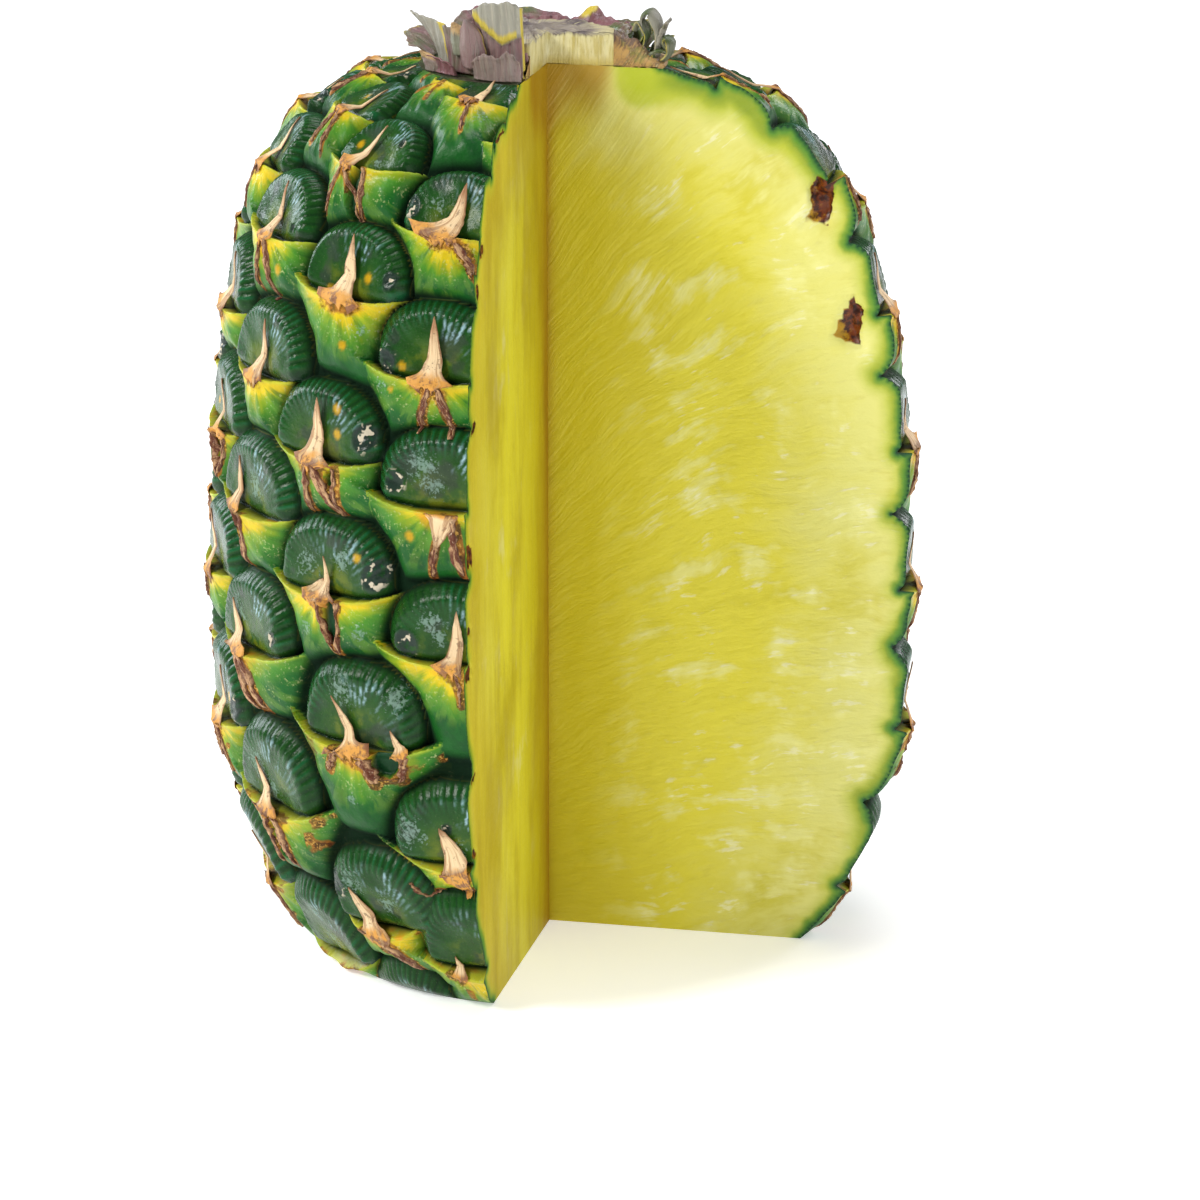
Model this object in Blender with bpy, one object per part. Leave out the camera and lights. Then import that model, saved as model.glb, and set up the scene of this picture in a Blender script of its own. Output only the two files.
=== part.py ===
"""A ripe pineapple that stands on its base, with one quarter cut out from top to bottom.

The fruit is one solid. Its eyes lie on a spiral, and each eye is a dome behind a fleshy bract that ends in
a dry spike. They are raised from a barrel-shaped hull by one height formula. On top stand the stump of the
crown's stem and the cut-off bases of the crown's leaves, each a piece of its own.

Sizes are in millimetres and angles in degrees up to the last step, which writes metres.
"""

import math
import random

import bmesh
import bpy
import numpy as np
from mathutils import Vector
from mathutils.geometry import delaunay_2d_cdt

MM = 0.001
SEED = 11

# The hull over the eyes, from the edge of the flat base up to the foot of the crown: (radius, height).
OUTLINE = (
    (42.4, 0.0), (45.2, 2.0), (49.2, 8.2), (55.8, 22.0), (59.8, 38.0), (60.8, 57.0), (60.6, 77.0),
    (59.3, 97.0), (56.4, 114.5), (51.8, 130.5), (45.9, 140.6), (38.2, 147.6), (29.4, 151.5), (20.5, 153.0),
)
HULL_RADIUS = 60.5
BODY_TOP = OUTLINE[-1][1]
LEAN_START = 90.0
LEAN_SPAN = 75.0
LEAN = -4.6

# The missing quarter: everything on the +X side of CUT_X and on the -Y side of the plane y = 0.
CUT_X = -2.5
CORE_RADIUS = 13.0
RIND = 2.4

# The spiral of the eyes. Eye 0 faces the front left, and each next one is a turn of DIVERGENCE further on.
FIRST_ANGLE = 242.4
DIVERGENCE = 99.95
FIRST_LEDGE = 126.0
RISE = 1.344
LOWEST_EYE = -92
HIGHEST_EYE = 43
WIDE_BELOW = -43
WIDENING = 0.0075
SMALL_ABOVE = 30
SHRINKING = 0.017
JITTER = 0.8
# Eyes that grew off their place on the spiral: how far round and how far up, by eye number.
OFF_PLACE = {
    29: (0.5, 2.8), 18: (0.0, -0.7), 11: (3.0, -1.3), 7: (-2.0, -1.2), 0: (1.6, 1.5), -4: (-1.7, -2.4),
    -7: (-0.5, -0.7), -11: (0.3, -0.1), -18: (-3.2, -1.5), -22: (1.7, 1.5), -25: (-0.1, 2.7), -29: (-1.9, 0.6),
    -36: (-1.6, 0.3), -40: (0.7, 0.9), -43: (1.3, 1.3), -47: (-3.0, 0.8), -54: (3.2, 0.2), -61: (-0.4, -8.4),
    -65: (0.4, 1.3), -72: (2.0, -6.4),
}

# One eye, on the fruit's widest part: half its width at the ledge, and its dome's and bract's heights.
HALF_WIDTH = 13.4
DOME_WIDTH = 0.96
DOME_HEIGHT = 13.9
DOME_LOW = 0.1
DOME_SQUARE = 2.25
DOME_CROWN = 0.2
BRACT_HEIGHT = 12.6
GROOVE = 3.8
CREST = 0.5
KEEL = 0.5
TUCK = 0.7
DIP = 2.9
DIP_REACH = 1.9
HORN_RISE = 1.9
PALE_BAND = 4.5
SPIKE_LENGTH = 9.0
SPIKE_LIFT = 0.9
SPIKE_CLEAR = 14.0

# The crown, cut down to short stubs round the stump of its stem.
GAP = 0.3
STEM_RADIUS = 12.4
STEM_TOP = 158.7
STUB_FOOT = BODY_TOP + GAP
STEM_SIDES = 30
BLADE = 1.3
BLADE_EDGE = 0.7
BLADE_COLUMNS = 6
BLADE_ROWS = 2
# Each leaf base: where it starts and ends round the crown, its inner radius, how high it stands, how far
# it leans out, and how pointed it is. CUT_EDGE ends at the cut face x = CUT_X.
CUT_EDGE = 360.0
LEAF_BASES = (
    (0.0, 56.0, 13.1, 6.4, 1.2, 0.2), (63.0, 116.0, 13.0, 5.0, 0.8, 0.2), (123.0, 180.0, 13.1, 5.4, 1.0, 0.3),
    (187.0, 236.0, 13.1, 7.2, 1.4, 0.3), (243.0, CUT_EDGE, 13.0, 6.2, 1.2, 0.2),
    (0.0, 34.0, 15.9, 8.3, 2.2, 0.3), (42.0, 100.0, 15.8, 5.8, 2.4, 0.4), (108.0, 158.0, 15.9, 7.0, 2.6, 0.5),
    (168.0, 208.0, 16.0, 9.4, 5.4, 1.0), (214.0, 239.0, 16.0, 9.6, 2.2, 0.6),
    (245.0, CUT_EDGE, 15.9, 14.0, 2.4, 0.25),
    (0.0, 26.0, 18.9, 6.8, 3.8, 0.7), (34.0, 80.0, 18.8, 4.5, 4.2, 0.5), (88.0, 132.0, 18.9, 5.5, 4.0, 0.6),
    (140.0, 186.0, 18.9, 5.0, 4.4, 0.6), (196.0, 236.0, 18.9, 2.6, 1.2, 0.5), (248.0, CUT_EDGE, 18.8, 6.0, 2.0, 0.4),
)

COLOURS = {
    "rind_skin": ((0.055, 0.16, 0.045), 0.38),
    "bract_green": ((0.42, 0.47, 0.06), 0.45),
    "dry_spike": ((0.62, 0.42, 0.22), 0.7),
    "flesh": ((0.80, 0.66, 0.10), 0.42),
    "core_flesh": ((0.66, 0.48, 0.08), 0.45),
    "stem_flesh": ((0.74, 0.70, 0.48), 0.55),
    "leaf_base": ((0.33, 0.32, 0.16), 0.5),
}

SLOTS = ("rind_skin", "bract_green", "dry_spike", "flesh", "core_flesh", "stem_flesh")


def material(name):
    """The named material, made on first use."""
    made = bpy.data.materials.get(name)
    if made:
        return made
    colour, roughness = COLOURS[name]
    made = bpy.data.materials.new(name)
    made.use_nodes = True
    shader = made.node_tree.nodes["Principled BSDF"]
    shader.inputs["Base Color"].default_value = (*colour, 1.0)
    shader.inputs["Roughness"].default_value = roughness
    shader.inputs["Metallic"].default_value = 0.0
    made.diffuse_color = (*colour, 1.0)
    return made


def smoothstep(low, high, value):
    t = np.clip((value - low) / (high - low), 0.0, 1.0)
    return t * t * (3.0 - 2.0 * t)


class Hull:
    """The smooth barrel that the eyes stand on, measured by arc length from the edge of its base."""

    def __init__(self):
        outline = np.array(OUTLINE)
        points = np.vstack([[2 * outline[0] - outline[1]], outline, [2 * outline[-1] - outline[-2]]])
        steps = np.linspace(0.0, 1.0, 40, endpoint=False)
        runs = []
        for a, b, c, d in zip(points, points[1:], points[2:], points[3:]):
            t = steps[:, None]
            runs.append(0.5 * (2 * b + (c - a) * t + (2 * a - 5 * b + 4 * c - d) * t**2
                               + (3 * b - a - 3 * c + d) * t**3))
        curve = np.vstack(runs + [[OUTLINE[-1]]])
        lengths = np.hypot(*np.diff(curve, axis=0).T)
        self.s = np.concatenate([[0.0], np.cumsum(lengths)])
        self.r, self.z = curve.T
        slope = np.gradient(curve, self.s, axis=0)
        slope /= np.hypot(*slope.T)[:, None]
        self.nr, self.nz = slope[:, 1], -slope[:, 0]
        self.length = self.s[-1]

    def at(self, s):
        """Radius, height and the two parts of the outward normal at arc length s."""
        return [np.interp(s, self.s, values) for values in (self.r, self.z, self.nr, self.nz)]

    def place(self, angle, s, height):
        """Where a point of the relief lies, in millimetres."""
        r, z, nr, nz = self.at(s)
        reach = r + height * nr
        level = np.clip(z + height * nz, 0.0, None)
        return np.stack([reach * np.cos(angle) + lean(level), reach * np.sin(angle), level], axis=-1)


def lean(level):
    """How far the axis has drifted along X at this height."""
    return LEAN * (np.clip(level - LEAN_START, 0.0, None) / LEAN_SPAN) ** 1.5


class Eye:
    """One eye of the fruit: its place on the hull, its scale and its height formula."""

    def __init__(self, number, hull, draw):
        low = max(0, WIDE_BELOW - number)
        high = max(0, number - SMALL_ABOVE)
        round_by, up_by = OFF_PLACE.get(number, (draw.uniform(-JITTER, JITTER), draw.uniform(-JITTER, JITTER)))
        self.s = FIRST_LEDGE + RISE * number - WIDENING * low**2 - SHRINKING * high**2 + up_by
        radius = float(hull.at(self.s)[0])
        self.angle = math.radians(FIRST_ANGLE + DIVERGENCE * number) + round_by / HULL_RADIUS
        self.wide = HALF_WIDTH / HULL_RADIUS
        self.tall = 1.0 + 2 * WIDENING * low / RISE * 0.8 - 2 * SHRINKING * high / RISE * 0.9
        self.deep = min(1.0, (radius / 46.0) ** 0.8)
        self.twist = draw.uniform(-0.35, 0.35)
        self.spike_turn = draw.uniform(-1.5, 2.2)
        self.spike_size = draw.uniform(0.8, 1.12)

    def local(self, angle, s):
        """Across in half widths, and up from the ledge in millimetres of a full-size eye."""
        across = (angle - self.angle + math.pi) % (2 * math.pi) - math.pi
        a = across / self.wide
        return a, (s - self.s) / self.tall - self.ledge(a)

    def ledge(self, a):
        """How far the ledge's line rises towards its two horns, and its slight slant."""
        return HORN_RISE * np.abs(np.clip(a, -1.3, 1.3)) ** 2.6 + self.twist * np.clip(a, -1.3, 1.3)

    def to_surface(self, a, v):
        """The angle and arc length of a point given in the eye's own measures."""
        return self.angle + a * self.wide, self.s + (v + self.ledge(a)) * self.tall

    def outline(self, a, v):
        """1 on the round edge of the dome, less inside it and more outside."""
        b = np.clip(v / DOME_HEIGHT - DOME_LOW, 0.0, None) / (1 - DOME_LOW)
        return (np.abs(a / DOME_WIDTH) ** DOME_SQUARE + b**DOME_SQUARE) ** (1 / DOME_SQUARE)

    def on_dome(self, degrees, size):
        """A point on the ring round the dome where outline() is size, as (across, up)."""
        across, up = math.cos(math.radians(degrees)), math.sin(math.radians(degrees))
        reach = size / (abs(across) ** DOME_SQUARE + up**DOME_SQUARE) ** (1 / DOME_SQUARE)
        return DOME_WIDTH * reach * across, (DOME_LOW + (1 - DOME_LOW) * reach * up) * DOME_HEIGHT

    def dome(self, v, rho):
        """Height of the shiny dome above the ledge."""
        bulge = np.sqrt(np.clip(1.0 - rho**5, 0.0, None))
        tuck = TUCK * (1.0 - smoothstep(0.0, 5.0, v))
        return (-DOME_CROWN - (GROOVE - DOME_CROWN) * (1.0 - bulge) - tuck) * self.deep

    def bract(self, a, v):
        """Height of the fleshy bract below the ledge."""
        t = np.clip(-v / BRACT_HEIGHT, 0.0, None)
        width = 0.45 + 0.72 * np.clip(1.0 - t, 0.0, 1.0) ** 0.6
        rho = ((np.abs(a) / width) ** 2.6 + (t / 1.25) ** 4) ** (1 / 2.6)
        fall = np.clip(rho, 0.0, 1.3) ** (6.0 - 2.5 * np.clip(t, 0.0, 1.0))
        keel = KEEL * np.exp(-((a / 0.14) ** 2)) * np.clip(1.0 - t, 0.0, 1.0) ** 2
        height = CREST - 0.5 * t + keel - GROOVE * fall
        return np.where(v <= 0.0, height * self.deep, -99.0)


def grow_eyes(hull):
    draw = random.Random(SEED)
    return [Eye(number, hull, draw) for number in range(LOWEST_EYE, HIGHEST_EYE + 1)]


def relief(hull, eyes, angle, s):
    """Height over the hull at each point. It dies away at the base and at the crown.

    A dome shows inside its own outline. Round it the bracts show, and they dip where they meet a dome.
    """
    angle, s = np.broadcast_arrays(np.asarray(angle, float), np.asarray(s, float))
    bract = np.full(angle.shape, -GROOVE)
    dome = np.full(angle.shape, -99.0)
    dip = np.zeros(angle.shape)
    for eye in eyes:
        near = np.abs(s - eye.s) < 30.0
        if not near.any():
            continue
        a, v = eye.local(angle[near], s[near])
        rho = eye.outline(a, v)
        above = (v > 0.0) & (np.abs(a) < 2.0)
        shown = np.where(above & (rho < 1.0), eye.dome(v, rho), -99.0)
        dome[near] = np.maximum(dome[near], shown)
        bract[near] = np.maximum(bract[near], np.where(np.abs(a) < 1.4, eye.bract(a, v), -99.0))
        edge = np.clip((rho - 1.0) * HALF_WIDTH / DIP_REACH, 0.0, 9.0)
        dip[near] = np.maximum(dip[near], np.where(above, np.exp(-edge) * eye.deep, 0.0))
    height = np.where(dome > -90.0, dome, bract - DIP * dip)
    fade = smoothstep(0.0, 4.0, s) * smoothstep(0.0, 3.5, hull.length - s)
    return np.maximum(height, -GROOVE) * fade


def eye_points(eye):
    """The points that carry one eye's shape: (across, up, kind), most needed first."""
    points = [(a, -0.02, "crest") for a in (-0.98, -0.68, -0.39, -0.14, 0.14, 0.39, 0.68, 0.98)]
    points.append((0.03 * eye.spike_turn, -0.75, "tip"))
    points.extend((a, -1.7, "bract") for a in (-0.11, 0.11))
    points.extend((a, 0.55, "dome") for a in (-0.8, -0.5, -0.17, 0.17, 0.5, 0.8))
    points.extend((*eye.on_dome(degrees, 1.005), "groove") for degrees in (6, 26, 46, 68, 90, 112, 134, 154, 174))
    points.extend((*eye.on_dome(degrees, 0.84), "dome") for degrees in (12, 40, 74, 106, 140, 168))
    points.extend((*eye.on_dome(degrees, 0.5), "dome") for degrees in (24, 90, 156))
    for t, row in ((0.3, (-0.64, -0.3, 0.3, 0.64)), (0.62, (-0.44, 0.0, 0.44)), (0.92, (-0.2, 0.2))):
        points.extend((a, -t * BRACT_HEIGHT, "bract") for a in row)
    return points


def cut_line(hull, eyes, s):
    """The angle at which the plane x = CUT_X leaves the skin at each arc length."""
    angle = np.full(s.shape, 1.5 * math.pi)
    for _ in range(12):
        height = relief(hull, eyes, angle, s)
        r, z, nr, nz = hull.at(s)
        reach = r + height * nr
        angle = 2 * math.pi - np.arccos((CUT_X - lean(np.clip(z + height * nz, 0.0, None))) / reach)
    return angle


def far_from(points, kept, near):
    """Which of the points lie further than near from every kept point."""
    if not len(kept):
        return np.ones(len(points), bool)
    gaps = np.hypot(points[:, None, 0] - kept[None, :, 0], points[:, None, 1] - kept[None, :, 1])
    return gaps.min(axis=1) > near


def skin_samples(hull, eyes):
    """Surface points of the whole skin as rows (angle, s, tip eye or -1), the border's first, and its size."""
    rows = np.linspace(0.0, hull.length, 74)
    right = np.stack([np.zeros_like(rows), rows], axis=1)
    left = np.stack([cut_line(hull, eyes, rows), rows], axis=1)
    ring = 46
    bottom = [(left[0, 0] * k / ring, 0.0) for k in range(1, ring)]
    top = [(left[-1, 0] * k / ring, hull.length) for k in range(1, ring)]
    border = np.array([*right, *top, *left[::-1], *bottom[::-1]])
    kept = [(angle, s, -1) for angle, s in border]
    flat = border * (HULL_RADIUS, 1.0)
    for index, eye in enumerate(eyes):
        for a, v, kind in eye_points(eye):
            angle, s = eye.to_surface(a, v)
            angle %= 2 * math.pi
            if not 3.0 < s < hull.length - (SPIKE_CLEAR if kind == "tip" else 2.5):
                continue
            limit = float(np.interp(s, rows, left[:, 0]))
            margin = (3.0 if kind == "tip" else 1.2) / float(hull.at(s)[0])
            if not margin < angle < limit - margin:
                continue
            spot = np.array([(angle * HULL_RADIUS, s)])
            if kind in ("crest", "tip") or far_from(spot, flat, 1.25)[0]:
                kept.append((angle, s, index if kind == "tip" else -1))
                flat = np.vstack([flat, spot])
    return kept, len(border), len(rows), ring


def spike_tip(hull, eye, angle, s):
    """The end of an eye's dry spike, which leans up over the dome."""
    length = SPIKE_LENGTH * eye.spike_size * eye.tall
    r = float(hull.at(s)[0])
    angle = angle + eye.spike_turn / r
    lift = (CREST + SPIKE_LIFT) * eye.deep
    return hull.place(angle, min(s + length, hull.length - 1.0), lift)


def build_skin(bm, hull, eyes):
    """The skin's triangles. Returns the border's vertices: right edge, top, left edge and bottom."""
    samples, border, rows, ring = skin_samples(hull, eyes)
    flat = [Vector((angle * HULL_RADIUS, s)) for angle, s, _ in samples]
    _, _, faces, origins, _, _ = delaunay_2d_cdt(flat, [], [list(range(border))], 1, 1e-6)
    angle, s = np.array([sample[:2] for sample in samples]).T
    places = hull.place(angle, s, relief(hull, eyes, angle, s))
    for row, (_, _, owner) in enumerate(samples):
        if owner >= 0:
            places[row] = spike_tip(hull, eyes[owner], angle[row], s[row])
    places[:rows, 1] = 0.0
    left = slice(rows + ring - 1, 2 * rows + ring - 1)
    places[left, 0] = CUT_X
    verts = [bm.verts.new(place) for place in places]
    for face in faces:
        corners = [verts[origins[k][0]] for k in face]
        made = bm.faces.new(corners)
        made.material_index = skin_slot(eyes, samples, [origins[k][0] for k in face], angle, s)
        made.smooth = True
    edges = [0, rows, rows + ring - 1, 2 * rows + ring - 1, border]
    return [verts[a:b] for a, b in zip(edges, edges[1:])]


def skin_slot(eyes, samples, corners, angle, s):
    """Material of a skin triangle: dry spike, the pale upper part of a bract, or the green rind."""
    if any(samples[k][2] >= 0 for k in corners):
        return SLOTS.index("dry_spike")
    middle_angle, middle_s = angle[corners].mean(), s[corners].mean()
    pale = False
    for eye in eyes:
        a, v = eye.local(middle_angle, middle_s)
        if 0.0 < v < 2 * DOME_HEIGHT and eye.outline(a, v) < 1.0:
            return SLOTS.index("rind_skin")
        pale = pale or (abs(a) < 0.95 and -PALE_BAND < v <= 0.0)
    return SLOTS.index("bract_green" if pale else "rind_skin")


def flat_face(bm, ring, towards, slot):
    """A planar face through the ring's vertices that looks towards the given direction."""
    face = bm.faces.new(ring)
    face.normal_update()
    if face.normal.dot(towards) < 0:
        face.normal_flip()
    face.material_index = SLOTS.index(slot)


class RightPlane:
    """The cut face in the plane y = 0. Distances are counted from the inner corner of the cut."""

    towards = Vector((0, -1, 0))

    @staticmethod
    def distance(place):
        return place.x - CUT_X

    @staticmethod
    def point(distance, level):
        return (CUT_X + distance, 0.0, level)


class LeftPlane:
    """The cut face in the plane x = CUT_X."""

    towards = Vector((1, 0, 0))

    @staticmethod
    def distance(place):
        return -place.y

    @staticmethod
    def point(distance, level):
        return (CUT_X, -distance, level)


def cut_face(bm, outer, hull, plane, apex):
    """One flat cut face: a band of rind behind the skin's edge, the flesh, and the core at the middle."""
    distance = np.array([plane.distance(vert.co) for vert in outer])
    level = np.array([vert.co.z for vert in outer])
    _, _, nr, nz = hull.at(np.linspace(0.0, hull.length, len(outer)))
    smooth = np.convolve(np.pad(distance, 2, mode="edge"), np.ones(5) / 5, mode="valid")
    back = np.minimum(smooth, distance) - RIND * np.maximum(nr, 0.25)
    down = level - RIND * nz
    down[[0, -1]] = level[[0, -1]]
    inner = [bm.verts.new(plane.point(*spot)) for spot in zip(back, down)]
    core = [bm.verts.new(plane.point(CORE_RADIUS, z)) for z in (0.0, BODY_TOP)]
    for k in range(len(outer) - 1):
        flat_face(bm, (outer[k], outer[k + 1], inner[k + 1], inner[k]), plane.towards, "rind_skin")
    flat_face(bm, (*inner, core[1], core[0]), plane.towards, "flesh")
    flat_face(bm, (core[0], core[1], apex[1], apex[0]), plane.towards, "core_flesh")
    return inner, core


def finish_object(name, bm, slots, smooth_angle=None):
    """Turn a bmesh in millimetres into a named object in metres."""
    bmesh.ops.scale(bm, vec=(MM, MM, MM), verts=bm.verts)
    mesh = bpy.data.meshes.new(name)
    bm.to_mesh(mesh)
    bm.free()
    for slot in slots:
        mesh.materials.append(material(slot))
    if smooth_angle is not None:
        mesh.shade_smooth()
        mesh.set_sharp_from_angle(angle=math.radians(smooth_angle))
    made = bpy.data.objects.new(name, mesh)
    bpy.context.scene.collection.objects.link(made)
    return made


def build_fruit():
    hull = Hull()
    eyes = grow_eyes(hull)
    bm = bmesh.new()
    right, top, left, bottom = build_skin(bm, hull, eyes)
    left = left[::-1]
    apex = [bm.verts.new((CUT_X, 0.0, z)) for z in (0.0, BODY_TOP)]
    inner_right, core_right = cut_face(bm, right, hull, RightPlane, apex)
    inner_left, core_left = cut_face(bm, left, hull, LeftPlane, apex)
    base = [right[0], *bottom[::-1], left[0], inner_left[0], core_left[0], apex[0], core_right[0], inner_right[0]]
    lid = [right[-1], *top, left[-1], inner_left[-1], core_left[1], apex[1], core_right[1], inner_right[-1]]
    flat_face(bm, base, Vector((0, 0, -1)), "flesh")
    flat_face(bm, lid, Vector((0, 0, 1)), "stem_flesh")
    return finish_object("fruit", bm, SLOTS, 50)


def cut_turn(radius, centre):
    """The angle round the crown at which a circle of this radius meets the cut face x = CUT_X."""
    return 1.5 * math.pi + math.asin((CUT_X - centre) / radius)


def build_stem():
    """The flat-cut stump of the crown's stem, with the same quarter missing as the fruit."""
    centre = float(lean(BODY_TOP))
    last = cut_turn(STEM_RADIUS, centre)
    turns = np.linspace(0.0, last, STEM_SIDES)
    rim = [(centre + STEM_RADIUS * math.cos(turn), STEM_RADIUS * math.sin(turn)) for turn in turns]
    rim[-1] = (CUT_X, rim[-1][1])
    rim.append((CUT_X, 0.0))
    bm = bmesh.new()
    low, high = ([bm.verts.new((x, y, z)) for x, y in rim] for z in (STUB_FOOT, STEM_TOP))
    bm.faces.new(low[::-1])
    bm.faces.new(high)
    for k in range(len(rim)):
        bm.faces.new((low[k - 1], low[k], high[k], high[k - 1]))
    return finish_object("crown_stem", bm, ("stem_flesh",), 40)


def build_leaf_base(name, start, end, radius, height, flare, point):
    """One trimmed leaf base: a curved blade, thick at its middle, that leans out as it rises."""
    centre = float(lean(BODY_TOP))
    bm = bmesh.new()
    sheets = []
    for outer in (False, True):
        sheet = []
        for j in range(BLADE_ROWS + 1):
            rise = j / BLADE_ROWS
            row = []
            for i in range(BLADE_COLUMNS + 1):
                across = 2 * i / BLADE_COLUMNS - 1
                top = height * (1.0 - 0.75 * point * abs(across) ** 1.6)
                inner = radius + flare * (rise * top / height) ** 1.5
                thick = BLADE_EDGE + (BLADE - BLADE_EDGE) * (1 - across**2)
                reach = inner + (thick if outer else 0.0)
                last = cut_turn(reach, centre) if end == CUT_EDGE else math.radians(end)
                turn = math.radians(start) + (last - math.radians(start)) * i / BLADE_COLUMNS
                row.append(bm.verts.new((centre + reach * math.cos(turn), reach * math.sin(turn),
                                         STUB_FOOT + rise * top)))
            sheet.append(row)
        sheets.append(sheet)
    inside, outside = sheets
    for j in range(BLADE_ROWS):
        for i in range(BLADE_COLUMNS):
            bm.faces.new((outside[j][i], outside[j][i + 1], outside[j + 1][i + 1], outside[j + 1][i]))
            bm.faces.new((inside[j][i + 1], inside[j][i], inside[j + 1][i], inside[j + 1][i + 1]))
        bm.faces.new((inside[j][0], outside[j][0], outside[j + 1][0], inside[j + 1][0]))
        bm.faces.new((outside[j][-1], inside[j][-1], inside[j + 1][-1], outside[j + 1][-1]))
    for i in range(BLADE_COLUMNS):
        bm.faces.new((inside[0][i], inside[0][i + 1], outside[0][i + 1], outside[0][i]))
        bm.faces.new((outside[-1][i], outside[-1][i + 1], inside[-1][i + 1], inside[-1][i]))
    return finish_object(name, bm, ("leaf_base",), 40)


def clear_scene():
    for thing in list(bpy.data.objects):
        bpy.data.objects.remove(thing, do_unlink=True)


def main():
    clear_scene()
    build_fruit()
    build_stem()
    for number, measures in enumerate(LEAF_BASES, start=1):
        build_leaf_base(f"leaf_base_{number:02d}", *measures)


if __name__ == "__main__":
    main()
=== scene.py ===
"""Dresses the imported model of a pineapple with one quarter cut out.

The model has plain solids. Here the rind gets its glossy fluted domes, torn bracts and dry spikes, the two cut
faces get their fibres and rind band, and the crown's stump gets its torn leaf bases. The hull and the spiral of
the eyes follow the same measures as the solids, so every piece lies where its solid is.

Sizes are in millimetres and angles in radians unless a comment says degrees. make_piece writes metres.
"""

import math
import random

import bpy
import numpy as np
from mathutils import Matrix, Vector
from mathutils.geometry import delaunay_2d_cdt


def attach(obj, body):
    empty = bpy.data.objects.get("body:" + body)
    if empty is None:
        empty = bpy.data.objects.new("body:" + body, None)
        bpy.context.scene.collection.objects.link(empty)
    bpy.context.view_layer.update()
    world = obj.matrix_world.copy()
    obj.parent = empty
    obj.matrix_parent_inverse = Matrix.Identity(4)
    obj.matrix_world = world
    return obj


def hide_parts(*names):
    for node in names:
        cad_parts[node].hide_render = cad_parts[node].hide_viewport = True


bl_info = {
    "name": "Cut pineapple",
    "version": (1, 0, 0),
    "blender": (4, 5, 0),
    "location": "View3D > Sidebar > Pineapple",
    "description": "Builds the rind, flesh, stem and leaf bases of a pineapple with one quarter cut out",
    "category": "Object",
}

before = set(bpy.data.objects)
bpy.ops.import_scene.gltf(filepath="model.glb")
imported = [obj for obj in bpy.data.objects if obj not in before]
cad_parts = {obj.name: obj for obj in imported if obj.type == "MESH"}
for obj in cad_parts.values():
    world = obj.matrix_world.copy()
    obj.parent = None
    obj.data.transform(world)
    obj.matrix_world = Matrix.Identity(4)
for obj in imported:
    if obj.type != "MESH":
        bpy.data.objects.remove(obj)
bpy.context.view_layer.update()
MM = 0.001
BODY = "root"
SEED = 11
FULL_TURN = 2 * math.pi
# The fruit stands from angle 0, its right cut face, round the back to three quarters of a turn, its left one.
THREE_QUARTERS = 1.5 * math.pi
FAR = 1e9
FAR_BELOW = -99.0

# The hull over the eyes, as in the solids: (radius, height) from the edge of the flat base to the crown.
OUTLINE = (
    (42.4, 0.0), (45.2, 2.0), (49.2, 8.2), (55.8, 22.0), (59.8, 38.0), (60.8, 57.0), (60.6, 77.0),
    (59.3, 97.0), (56.4, 114.5), (51.8, 130.5), (45.9, 140.6), (38.2, 147.6), (29.4, 151.5), (20.5, 153.0),
)
OUTLINE_STEPS = 40
HULL_RADIUS = 60.5
BODY_TOP = OUTLINE[-1][1]
LEAN_START = 90.0
LEAN_SPAN = 75.0
LEAN = -4.6
CUT_X = -2.5

# The spiral of the eyes, as in the solids. Its two angles are in degrees. Eyes off their place have
# (millimetres round, millimetres up).
FIRST_ANGLE = 242.4
DIVERGENCE = 99.95
FIRST_LEDGE = 126.0
RISE = 1.344
LOWEST_EYE = -92
HIGHEST_EYE = 43
WIDE_BELOW = -43
WIDENING = 0.0075
SMALL_ABOVE = 30
SHRINKING = 0.017
# How much of the wider or closer spacing the height of the eyes takes up.
WIDER_TALLER = 0.8
CLOSER_LOWER = 0.9
JITTER = 0.8
TWIST = 0.35
OFF_PLACE = {
    29: (0.5, 2.8), 18: (0.0, -0.7), 11: (3.0, -1.3), 7: (-2.0, -1.2), 0: (1.6, 1.5), -4: (-1.7, -2.4),
    -7: (-0.5, -0.7), -11: (0.3, -0.1), -18: (-3.2, -1.5), -22: (1.7, 1.5), -25: (-0.1, 2.7), -29: (-1.9, 0.6),
    -36: (-1.6, 0.3), -40: (0.7, 0.9), -43: (1.3, 1.3), -47: (-3.0, 0.8), -54: (3.2, 0.2), -61: (-0.4, -8.4),
    -65: (0.4, 1.3), -72: (2.0, -6.4),
}

# One eye on the fruit's widest part, as in the solids.
HALF_WIDTH = 13.4
DOME_WIDTH = 0.96
DOME_HEIGHT = 13.9
DOME_LOW = 0.1
DOME_SQUARE = 2.25
DOME_CROWN = 0.2
BRACT_HEIGHT = 12.6
GROOVE = 3.8
CREST = 0.5
BRACT_FALL = 2.1
DIP = 2.9
DIP_REACH = 1.9
HORN_RISE = 1.9
HORN_END = 1.3
# Eyes that stand where the hull is narrower than this are shallower.
FULL_DEPTH_RADIUS = 46.0

# What the solids leave out: the rim, the sunken middle and the flutes of a dome, and a bract's thin lip and ribs.
RIM = 0.62
RIM_PLACE = 0.79
RIM_WIDTH = 0.11
SUNKEN = 1.0
TUCK = 0.9
TUCK_REACH = 1.4
LIP = 0.35
KEEL = 0.35
RIB_COUNT = 15
RIB_HEIGHT = 0.13
DOME_RADIUS = 12.6
DOME_BUMPS = 0.16
BRACT_BUMPS = 0.15
FLUTE_PITCH = 1.75
HOLE_DEPTH = 1.7
STRIP_SWELL = 0.25
EYELET_RIM = 0.22
EYELET_DEPTH = 0.35
# The relief fades out over these lengths of the hull at its lower and its upper edge.
LOW_FADE = 4.0
HIGH_FADE = 3.5
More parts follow.
